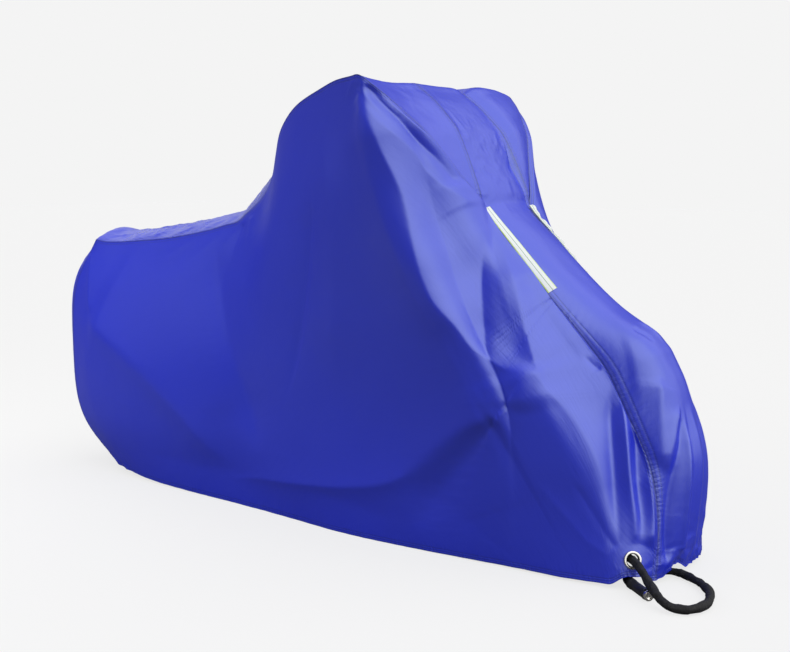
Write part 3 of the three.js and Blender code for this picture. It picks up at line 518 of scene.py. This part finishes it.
edge_hold = smoothstep((panel_half[:, None] - np.abs(y)) / 14)
rise = rise + crease_field(y, z, FRONT_CREASES) * is_front * edge_hold
rise = rise + crease_field(x, y, TOP_CREASES) * smoothstep((z - 400) / 80) * smoothstep((panel_half[:, None] - np.abs(y)) / 10)
centre = centre + centre_normals * rise[..., None]
centre[..., 2] += hem_lift(centre, centre[-1:])
centre[[0, -1], :, 2] = np.maximum(centre[[0, -1], :, 2], 6)
centre_inner = centre - centre_normals * SHEET_IN
near = (panel_half[:, None] - np.abs(y))
centre_obj = mesh_object(
    "centre_sheet", centre_inner, False,
    {"near_seam": near, "seam_way": way + 0 * y, "above_hem": np.minimum(from_front_hem, from_rear_hem) + 0 * y,
     "along_hem": y + 0 * way, "crumpled": SEAT + HUMP_BACK},
    cut=flat_coordinates(centre_inner))
sheets["centre_sheet"] = (centre_obj, ["centre_panel"],
                          (path_length(centre_inner, 0)[-1].max(), path_length(centre_inner, 1)[:, -1].max()))

# Gussets between the centre panel and the bar end
GUSSET_ACROSS = 64
gusset_rows = np.where(is_gusseted)[0]
for side, word in ((-1, "right"), (1, "left")):
    k = gusset_rows[:, None]
    start = (PANEL_HALF / half_seam[gusset_rows])[:, None]
    share = start + (1 - start) * np.linspace(0, 1, GUSSET_ACROSS)[None, :]
    grid = top_points(k, side, share)
    normals = grid_normals(grid, side)
    normals *= np.sign((normals[..., [0, 2]] * profile_normal[gusset_rows][:, None]).sum(-1, keepdims=True))
    y = np.abs(grid[..., 1])
    width = half_seam[gusset_rows][:, None]
    near = np.minimum(y - PANEL_HALF, width - y)
    way = path_length(grid, 0).mean(1)[:, None]
    rise = lattice_noise(way / 90, y / 80, 31 + side) * 1.4 * smoothstep(near / 30)
    rise = rise + crumple(way, y, 60, 33 + side) * 0.6 * smoothstep(near / 24)
    grid = grid + normals * (rise - SHEET_IN)[..., None]
    obj = mesh_object(
        f"gusset_sheet_{word}", grid, side < 0,
        {"near_seam": near, "seam_way": way + 0 * y, "above_hem": 0 * y + 900, "along_hem": 0 * y,
         "crumpled": 0 * y},
        cut=flat_coordinates(grid))
    sheets[obj.name] = (obj, [f"handlebar_gusset_{word}"],
                        (path_length(grid, 0)[-1].max(), path_length(grid, 1)[:, -1].max()))


# Shader helpers: a socket that can be added and multiplied
class Term:
    def __init__(self, tree, socket):
        self.tree, self.socket = tree, socket

    def op(self, kind, *others):
        node = self.tree.nodes.new("ShaderNodeMath")
        node.operation = kind
        for place, value in zip(node.inputs, (self, *others)):
            if isinstance(value, Term):
                self.tree.links.new(value.socket, place)
            else:
                place.default_value = value
        return Term(self.tree, node.outputs[0])

    def __add__(self, other):
        return self.op("ADD", other)

    def __sub__(self, other):
        return self.op("SUBTRACT", other)

    def __mul__(self, other):
        return self.op("MULTIPLY", other)

    def __truediv__(self, other):
        return self.op("DIVIDE", other)

    def sin(self):
        return self.op("SINE")

    def exp(self):
        return self.op("EXPONENT")

    def abs(self):
        return self.op("ABSOLUTE")

    def above(self, edge):
        return self.op("GREATER_THAN", edge)

    def clamped(self):
        node = self.tree.nodes.new("ShaderNodeClamp")
        self.tree.links.new(self.socket, node.inputs[0])
        return Term(self.tree, node.outputs[0])


def attribute(tree, name):
    node = tree.nodes.new("ShaderNodeAttribute")
    node.attribute_name = name
    return Term(tree, node.outputs["Fac"])


def cut_place(tree, scale=(1, 1)):
    node = tree.nodes.new("ShaderNodeUVMap")
    node.uv_map = "cut"
    mapping = tree.nodes.new("ShaderNodeMapping")
    mapping.inputs["Scale"].default_value = (*scale, 1)
    tree.links.new(node.outputs["UV"], mapping.inputs["Vector"])
    return mapping.outputs["Vector"]


def noise(tree, vector, scale, detail=2.0, roughness=0.5):
    node = tree.nodes.new("ShaderNodeTexNoise")
    node.inputs["Scale"].default_value = scale
    node.inputs["Detail"].default_value = detail
    node.inputs["Roughness"].default_value = roughness
    tree.links.new(vector, node.inputs["Vector"])
    return Term(tree, node.outputs["Fac"])


def object_place(tree):
    return tree.nodes.new("ShaderNodeTexCoord").outputs["Object"]


def mixed(tree, share, low, high):
    node = tree.nodes.new("ShaderNodeMix")
    node.data_type = "RGBA"
    tree.links.new(share.socket, node.inputs["Factor"])
    for socket, colour in ((node.inputs[6], low), (node.inputs[7], high)):
        if isinstance(colour, bpy.types.NodeSocket):
            tree.links.new(colour, socket)
        else:
            socket.default_value = (*colour, 1)
    return node.outputs[2]


def bumped(tree, height_metres, strength=1.0):
    node = tree.nodes.new("ShaderNodeBump")
    node.inputs["Strength"].default_value = strength
    node.inputs["Distance"].default_value = 1.0
    tree.links.new(height_metres.socket, node.inputs["Height"])
    return node.outputs["Normal"]


def new_material(name):
    material = bpy.data.materials.new(name)
    material.use_nodes = True
    tree = material.node_tree
    return material, tree, tree.nodes["Principled BSDF"]


CLOTH_BLUE = (0.010, 0.025, 0.66)
CLOTH_DEEP = (0.008, 0.019, 0.60)
# the next colour is painted shade for the seam groove, and also the thread colour of the stitch rows
CLOTH_SEAM_SHADE_AND_THREAD = (0.004, 0.006, 0.10)


def cloth_material():
    material, tree, shader = new_material("coated_taffeta")
    place = object_place(tree)
    cut = cut_place(tree)
    near, way = attribute(tree, "near_seam"), attribute(tree, "seam_way")
    hem, hem_way = attribute(tree, "above_hem"), attribute(tree, "along_hem")
    crumpled = attribute(tree, "crumpled")
    # Puckers along the seams and above the hem, in mm
    drift = noise(tree, place, 26, 2)
    patchy = ((noise(tree, place, 19, 2) - 0.35) * 3).clamped()
    pucker = (way * (2 * math.pi / 13) + drift * 16).sin() * (near * -0.10).exp() * (patchy * 0.35 + 0.05)
    hem_pucker = (hem_way * (2 * math.pi / 12) + drift * 16).sin() * (hem * -0.07).exp() * patchy * 0.8
    groove = (near * near * -0.3).exp()
    stitched = None
    for distance in (3.5, 9.5):
        for away, along in ((near - distance, way), (hem - (distance + 2.5), hem_way)):
            line = (away * away * -0.5).exp() * ((along * (2 * math.pi / 4.5)).sin() * 0.3 + 0.7)
            stitched = line if stitched is None else stitched + line
    thread = noise(tree, cut_place(tree, (1, 9)), 420, 2)
    slub = noise(tree, cut_place(tree, (1, 3)), 18, 4) * 0.32
    crinkle = noise(tree, cut, 34, 4, 0.6) * (crumpled * 3 + 0.4)
    height = pucker + hem_pucker - groove * 0.9 - stitched * 0.5 + thread * 0.035 + slub + crinkle
    tree.links.new(bumped(tree, height * 0.001), shader.inputs["Normal"])
    cloud = noise(tree, place, 3.0, 3)
    plain = mixed(tree, cloud, CLOTH_BLUE, CLOTH_DEEP)
    # painted shade: the cloth is coloured darker along the seam line where its groove is; the stitch rows take the same
    # dark colour as their thread
    wear_stitches_and_seam_shade = ((groove * 0.6) + (stitched * 0.42)).clamped()
    tree.links.new(mixed(tree, wear_stitches_and_seam_shade, plain, CLOTH_SEAM_SHADE_AND_THREAD), shader.inputs["Base Color"])
    rough = noise(tree, place, 14, 3) * 0.08 + 0.34 - crumpled * 0.14
    tree.links.new(rough.socket, shader.inputs["Roughness"])
    shader.inputs["Specular IOR Level"].default_value = 1.0
    shader.inputs["IOR"].default_value = 1.66
    shader.inputs["Specular Tint"].default_value = (0.82, 0.95, 1.0, 1)
    return material


cloth = cloth_material()
for name, (obj, nodes, size) in sheets.items():
    obj.data.materials.append(cloth)
    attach(obj, "root")
    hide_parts(*nodes)

# Reflective tapes, on the centre panel along the seam
tape_rows = np.where(is_top & (profile[:, 0] >= TAPE_START_X - 1) & (profile[:, 0] <= TAPE_END_X + 1))[0]


def tape_material():
    material, tree, shader = new_material("reflective_tape")
    across = attribute(tree, "across")
    middle = ((across - 0.5).abs() * -1 + 0.5) * 2
    edge_band = (middle * -1 + 0.2).above(0)
    line = ((across - 0.5).abs() * -1 + 0.035).above(0)
    beads = noise(tree, object_place(tree), 1400, 1) * 0.25
    silver = mixed(tree, beads, (0.80, 0.85, 0.82), (1.0, 1.0, 1.0))
    edged = mixed(tree, edge_band, silver, (0.62, 0.78, 0.22))
    lined = mixed(tree, line, edged, (0.30, 0.42, 0.30))
    tree.links.new(lined, shader.inputs["Base Color"])
    shader.inputs["Roughness"].default_value = 0.45
    shader.inputs["Metallic"].default_value = 0.0
    shader.inputs["Sheen Weight"].default_value = 0.6
    stitches = (attribute(tree, "along") * (2 * math.pi / 4)).sin().above(-0.2) * edge_band * -0.2
    tree.links.new(bumped(tree, (stitches + noise(tree, object_place(tree), 900, 1) * 0.05) * 0.001),
                   shader.inputs["Normal"])
    return material


tape_finish = tape_material()
TAPE_ACROSS = 13
for side, word in ((-1, "right"), (1, "left")):
    k = tape_rows[:, None]
    inner_share = 1 - TAPE_WIDTH / half_seam[tape_rows][:, None]
    step = np.linspace(0, 1, TAPE_ACROSS)[None, :]
    share = inner_share + (0.992 - inner_share) * step
    grid = top_points(k, side, share)
    normals = grid_normals(grid, side)
    normals *= np.sign((normals[..., [0, 2]] * profile_normal[tape_rows][:, None]).sum(-1, keepdims=True))
    way = path_length(grid, 0).mean(1)[:, None]
    ripple = 0.25 * lattice_noise(way / 14, step * 2, 61)
    rim = smoothstep(np.minimum(step, 1 - step) / 0.08)
    end = smoothstep(np.minimum(way, way[-1] - way) / 3)
    grid = grid + normals * ((0.3 + 0.9 * rim * end + ripple)[..., None])
    if side > 0:
        lifted = smoothstep((step - 0.15) / 0.85) * (7 + 2 * np.sin(way / 9) + 1.2 * np.sin(way / 4.1))
        grid = grid + normals * lifted[..., None]
    obj = mesh_object(f"tape_{word}", grid, side < 0, {"across": step + 0 * way, "along": way + 0 * step})
    obj.data.materials.append(tape_finish)
    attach(obj, "root")
    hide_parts(f"reflective_strip_{word}")


def metal_material(name, colour, tint, rough):
    material, tree, shader = new_material(name)
    place = object_place(tree)
    tone = noise(tree, place, 60, 2)
    tree.links.new(mixed(tree, tone, colour, tint), shader.inputs["Base Color"])
    shader.inputs["Metallic"].default_value = 1.0
    tree.links.new((noise(tree, place, 220, 3) * 0.14 + rough).socket, shader.inputs["Roughness"])
    tree.links.new(bumped(tree, noise(tree, place, 500, 2) * 0.00002), shader.inputs["Normal"])
    return material


nickel = metal_material("nickel", (0.82, 0.82, 0.80), (0.72, 0.68, 0.60), 0.2)


def turned(name, section, centre, way, segments=64):
    """A piece turned about an axis: section is (radius, height) pairs in mm."""
    way = Vector(way).normalized()
    turn = Vector((0, 0, 1)).rotation_difference(way).to_matrix()
    rings = []
    for radius, height in section:
        rings.append([Vector(centre) + turn @ Vector((radius * math.cos(a), radius * math.sin(a), height))
                      for a in (2 * math.pi * i / segments for i in range(segments))])
    points = [((p.x + BAR_AHEAD) * 0.001, p.y * 0.001, p.z * 0.001) for ring in rings for p in ring]
    faces = []
    for r in range(len(rings) - 1):
        for i in range(segments):
            a, b = r * segments + i, r * segments + (i + 1) % segments
            faces.append((a, b, b + segments, a + segments))
    closed = section[0] == section[-1]
    mesh = bpy.data.meshes.new(name)
    if closed:
        last = (len(rings) - 1) * segments
        points = points[:last]
        faces = [tuple(v - last if v >= last else v for v in face) for face in faces]
    mesh.from_pydata(points, [], faces)
    mesh.polygons.foreach_set("use_smooth", [True] * len(mesh.polygons))
    mesh.update()
    obj = bpy.data.objects.new(name, mesh)
    bpy.context.scene.collection.objects.link(obj)
    return obj


def eyelet_section(lift):
    hole, outer = 14.5, 21.5
    rounded = [(hole + 2.6 - 2.6 * math.cos(a), 0.2 + 2.6 * math.sin(a)) for a in np.linspace(0, math.pi / 2, 7)]
    rounded += [(outer - 2.4 + 2.4 * math.sin(a), 0.6 + 2.2 * math.cos(a)) for a in np.linspace(0, math.pi / 2, 7)]
    under = [(outer - 0.2, 0.1), (16.5, 0.0), (16.2, -2), (16.2, -6.6), (15.8, -7), (14.6, -7), (hole, -6.6)]
    return [(r, h + lift) for r, h in rounded + under] + [(rounded[0][0], rounded[0][1] + lift)]


EYELET_LIFTS = {-1: 1.2, 1: 1.2}
for side, word in ((-1, "right"), (1, "left")):
    centre_point, out = EYELETS[side]
    obj = turned(f"eyelet_ring_{word}", eyelet_section(EYELET_LIFTS[side]), centre_point, out)
    obj.data.materials.append(nickel)
    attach(obj, "root")
    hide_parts(f"eyelet_{word}")

# Lock strap: a limp sleeve round its core, on the same line as its solid
lock_rear = LOCK_TIP - LOCK_WAY * (LOCK_LENGTH + LOCK_GAP)


def strap_line(points, spacing):
    """Centripetal curve through the route, sampled evenly."""
    points = np.array(points, float)
    padded = np.concatenate([[2 * points[0] - points[1]], points, [2 * points[-1] - points[-2]]])
    line = []
    for i in range(len(points) - 1):
        p0, p1, p2, p3 = padded[i:i + 4]
        d0, d1, d2 = (np.linalg.norm(b - a)**0.5 for a, b in ((p0, p1), (p1, p2), (p2, p3)))
        t1 = ((p1 - p0) / d0 - (p2 - p0) / (d0 + d1) + (p2 - p1) / d1) * d1
        t2 = ((p2 - p1) / d1 - (p3 - p1) / (d1 + d2) + (p3 - p2) / d2) * d1
        for t in np.linspace(0, 1, 24, endpoint=False):
            line.append(p1 + t1 * t + (-3 * p1 + 3 * p2 - 2 * t1 - t2) * t**2 + (2 * p1 - 2 * p2 + t1 + t2) * t**3)
    line = np.array(line + [points[-1]])
    run = np.concatenate([[0], np.cumsum(np.linalg.norm(np.diff(line, axis=0), axis=1))])
    even = np.linspace(0, run[-1], int(run[-1] / spacing) + 1)
    return np.stack([np.interp(even, run, line[:, c]) for c in range(3)], 1), even


strap_points, strap_run = strap_line([tuple(lock_rear)] + STRAP_ROUTE, 2.2)
STRAP_SIDES = 36
tangent = np.gradient(strap_points, axis=0)
tangent /= np.linalg.norm(tangent, axis=1)[:, None]
side_way = np.cross(tangent, [0, 0, 1.0])
side_way /= np.linalg.norm(side_way, axis=1)[:, None]
up_way = np.cross(side_way, tangent)
angle = np.linspace(0, 2 * math.pi, STRAP_SIDES, endpoint=False)[None, :]
run = strap_run[:, None]
dents = crumple(run * 0.8, angle * 11, 26, 71, 3)
wring = np.sin(run / 9 + 2.5 * np.sin(angle + run / 60)) * 0.25
kinks = crumple(run * 0.55, angle * 5, 24, 77, 2)
radius = STRAP_RADIUS - 1.0 + 1.1 * np.clip(dents, -1.5, 0.8) + wring * 1.5 + 1.1 * np.clip(kinks, -1.5, 0.5)
radius = np.minimum(radius, STRAP_RADIUS)
flatten = 1 - 0.06 * np.sin(run / 70)**2
ends = np.minimum(run, run[-1] - run)
radius = radius * (0.86 + 0.14 * smoothstep(ends / 4))
tube = (strap_points[:, None] + side_way[:, None] * (np.cos(angle) * radius)[..., None]
        + up_way[:, None] * (np.sin(angle) * radius * flatten)[..., None])
tube[..., 2] = np.maximum(tube[..., 2], 0.3)
rings = len(tube)
strap_mesh = bpy.data.meshes.new("lock_strap_sleeve")
place = ((tube.reshape(-1, 3) + np.array([BAR_AHEAD, 0, 0])) * 0.001).tolist()
place += [((np.array(p) + np.array([BAR_AHEAD, 0, 0])) * 0.001).tolist() for p in (strap_points[0], strap_points[-1])]
faces = []
for r in range(rings - 1):
    for i in range(STRAP_SIDES):
        a, b = r * STRAP_SIDES + i, r * STRAP_SIDES + (i + 1) % STRAP_SIDES
        faces.append((a, a + STRAP_SIDES, b + STRAP_SIDES, b))
for i in range(STRAP_SIDES):
    j = (i + 1) % STRAP_SIDES
    faces.append((rings * STRAP_SIDES, i, j))
    last = (rings - 1) * STRAP_SIDES
    faces.append((rings * STRAP_SIDES + 1, last + j, last + i))
strap_mesh.from_pydata(place, [], faces)
for key, values in (("run", run + 0 * angle), ("round", angle * 11.5 + 0 * run)):
    layer = strap_mesh.attributes.new(key, "FLOAT", "POINT")
    layer.data.foreach_set("value", np.concatenate([values.reshape(-1), [0, run[-1, 0]]]))
strap_mesh.polygons.foreach_set("use_smooth", [True] * len(strap_mesh.polygons))
strap = bpy.data.objects.new("lock_strap_sleeve", strap_mesh)
bpy.context.scene.collection.objects.link(strap)


def sleeve_material():
    material, tree, shader = new_material("woven_sleeve")
    along, around = attribute(tree, "run"), attribute(tree, "round")
    warp = (around * (2 * math.pi / 1.5)).sin()
    weft = (along * (2 * math.pi / 1.4)).sin()
    weave = warp * weft
    place = object_place(tree)
    wear_stitches_and_seam_shade = noise(tree, place, 70, 4)
    tree.links.new(mixed(tree, wear_stitches_and_seam_shade, (0.005, 0.005, 0.006), (0.018, 0.018, 0.020)), shader.inputs["Base Color"])
    shader.inputs["Roughness"].default_value = 0.6
    shader.inputs["Specular IOR Level"].default_value = 0.35
    creases = noise(tree, place, 120, 4, 0.6)
    tree.links.new(bumped(tree, weave * 0.00014 + creases * 0.0035), shader.inputs["Normal"])
    return material


strap.data.materials.append(sleeve_material())
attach(strap, "root")
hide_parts("lock_strap")


def capped(section):
    return [(0.01, section[0][1])] + section + [(0.01, section[-1][1])]


def lock_pieces():
    rear, front = -LOCK_LENGTH, -LOCK_CAP - LOCK_GAP
    body = [(LOCK_RADIUS - 1.6, rear), (LOCK_RADIUS - 0.4, rear + 0.5), (LOCK_RADIUS, rear + 1.8),
            (LOCK_RADIUS, rear + 13.5), (LOCK_RADIUS - 0.3, rear + 14.2), (LOCK_RADIUS - 0.8, rear + 14.8),
            (LOCK_RADIUS - 0.8, front - 5), (LOCK_RADIUS - 0.2, front - 4.3), (LOCK_RADIUS, front - 3.6),
            (LOCK_RADIUS, front - 1), (LOCK_RADIUS - 0.5, front - 0.3), (LOCK_RADIUS - 1.2, front)]
    cap = [(11.7, -LOCK_CAP), (12, -LOCK_CAP + 0.4), (12, -2.2), (11.6, -0.9), (10.6, -0.2), (9.8, 0),
           (7.2, 0), (6.8, -0.3), (6.4, -1.2)]
    return body, cap


body_section, cap_section = lock_pieces()
lock_body = turned("lock_barrel", capped(body_section), LOCK_TIP, LOCK_WAY)
lock_cap = turned("lock_key_end", capped(cap_section), LOCK_TIP, LOCK_WAY)


def plastic_material():
    material, tree, shader = new_material("moulded_plastic")
    place = object_place(tree)
    tree.links.new(mixed(tree, noise(tree, place, 50, 3), (0.010, 0.010, 0.011), (0.022, 0.022, 0.024)),
                   shader.inputs["Base Color"])
    tree.links.new((noise(tree, place, 180, 3) * 0.2 + 0.3).socket, shader.inputs["Roughness"])
    tree.links.new(bumped(tree, noise(tree, place, 1500, 2) * 0.00006), shader.inputs["Normal"])
    return material


for obj, node, finish, slot in ((lock_body, "lock_body", plastic_material(), "lock_plastic"),
                                (lock_cap, "lock_cap", nickel, "metal")):
    obj.data.materials.append(finish)
    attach(obj, "root")
    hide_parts(node)

# Flat size of each sheet's cut cloth, in metres, half a percent larger
for name, (obj, nodes, size) in sheets.items():
    flat = (round(size[0] * 0.001 * 1.005, 3), round(size[1] * 0.001 * 1.005, 3))

# Floor, light and camera
floor_mesh = bpy.data.meshes.new("floor")
reach = 30
floor_mesh.from_pydata([(-reach, -reach, 0), (reach, -reach, 0), (reach, reach, 0), (-reach, reach, 0)],
                       [], [(0, 1, 2, 3)])
floor = bpy.data.objects.new("floor", floor_mesh)
bpy.context.scene.collection.objects.link(floor)
floor_material, floor_tree, floor_shader = new_material("pale_floor")
floor_shader.inputs["Base Color"].default_value = (0.17, 0.17, 0.17, 1)
floor_shader.inputs["Roughness"].default_value = 0.9
floor_shader.inputs["Specular IOR Level"].default_value = 0.0
floor_glow = floor_tree.nodes.new("ShaderNodeEmission")
floor_glow.inputs["Color"].default_value = (0.735, 0.735, 0.735, 1)
floor_seen = floor_tree.nodes.new("ShaderNodeLightPath")
floor_tree.links.new(floor_seen.outputs["Is Camera Ray"], floor_glow.inputs["Strength"])
floor_sum = floor_tree.nodes.new("ShaderNodeAddShader")
floor_tree.links.new(floor_shader.outputs[0], floor_sum.inputs[0])
floor_tree.links.new(floor_glow.outputs[0], floor_sum.inputs[1])
floor_tree.links.new(floor_sum.outputs[0], floor_tree.nodes["Material Output"].inputs["Surface"])
floor.data.materials.append(floor_material)

SUNS = [  # where the light comes from, strength, angle in degrees, and whether it shows in gloss
    ("front", (0.75, -0.36, 0.55), 0.95, 80, True),
    ("rear", (-0.78, 0.41, 0.47), 0.34, 45, True),
    ("fill_left", (-0.50, -0.58, 0.64), 0.45, 60, False),
]
for name, toward, strength, spread, is_glossy in SUNS:
    light = bpy.data.lights.new(name, "SUN")
    light.energy = strength
    light.angle = math.radians(spread)
    lamp = bpy.data.objects.new(name, light)
    lamp.rotation_euler = Vector(toward).to_track_quat("Z", "Y").to_euler()
    lamp.visible_glossy = is_glossy
    bpy.context.scene.collection.objects.link(lamp)

# A soft lamp behind the left shoulder of the camera, near the tail
panel = bpy.data.lights.new("tail_lamp", "AREA")
panel.shape = "DISK"
panel.size = 1.6
panel.energy = 24
lamp = bpy.data.objects.new("tail_lamp", panel)
lamp.location = (-2.1, -1.7, 1.3)
lamp.rotation_euler = (Vector((-0.75, -0.15, 0.5)) - lamp.location).to_track_quat("-Z", "Y").to_euler()
lamp.visible_glossy = False
bpy.context.scene.collection.objects.link(lamp)

# The studio is bright ahead, above and behind, and dim on the left
BRIGHT_WAY = (0.62, 0.22, 0.75)
world = bpy.data.worlds.new("studio")
world.use_nodes = True
bpy.context.scene.world = world
nodes, links = world.node_tree.nodes, world.node_tree.links
background = nodes["Background"]
background.inputs["Color"].default_value = (1.0, 1.0, 1.0, 1)
way_out = nodes.new("ShaderNodeTexCoord")
toward_bright = nodes.new("ShaderNodeVectorMath")
toward_bright.operation = "DOT_PRODUCT"
toward_bright.inputs[1].default_value = BRIGHT_WAY
links.new(way_out.outputs["Generated"], toward_bright.inputs[0])
ramp = nodes.new("ShaderNodeMapRange")
ramp.interpolation_type = "SMOOTHSTEP"
for slot, value in (("From Min", 0.40), ("From Max", 0.74), ("To Min", 0.14), ("To Max", 1.26)):
    ramp.inputs[slot].default_value = value
links.new(toward_bright.outputs["Value"], ramp.inputs["Value"])
links.new(ramp.outputs[0], background.inputs["Strength"])
seen = nodes.new("ShaderNodeBackground")
seen.inputs["Color"].default_value = (0.905, 0.905, 0.905, 1)
path = nodes.new("ShaderNodeLightPath")
mix = nodes.new("ShaderNodeMixShader")
links.new(path.outputs["Is Camera Ray"], mix.inputs[0])
links.new(background.outputs[0], mix.inputs[1])
links.new(seen.outputs[0], mix.inputs[2])
links.new(mix.outputs[0], nodes["World Output"].inputs["Surface"])
bpy.context.scene.view_settings.view_transform = "Standard"

camera_data = bpy.data.cameras.new("camera")
camera_data.lens = 54.1
camera_data.sensor_width = 36
camera_data.clip_end = 100
camera = bpy.data.objects.new("camera", camera_data)
AZIMUTH, PITCH = math.radians(35.3), math.radians(7.2)
camera.location = (1.769 + BAR_AHEAD * 0.001, -2.721, 0.962)
look = Vector((-math.sin(AZIMUTH) * math.cos(PITCH), math.cos(AZIMUTH) * math.cos(PITCH), -math.sin(PITCH)))
camera.rotation_euler = look.to_track_quat("-Z", "Y").to_euler()
bpy.context.scene.collection.objects.link(camera)
bpy.context.scene.camera = camera
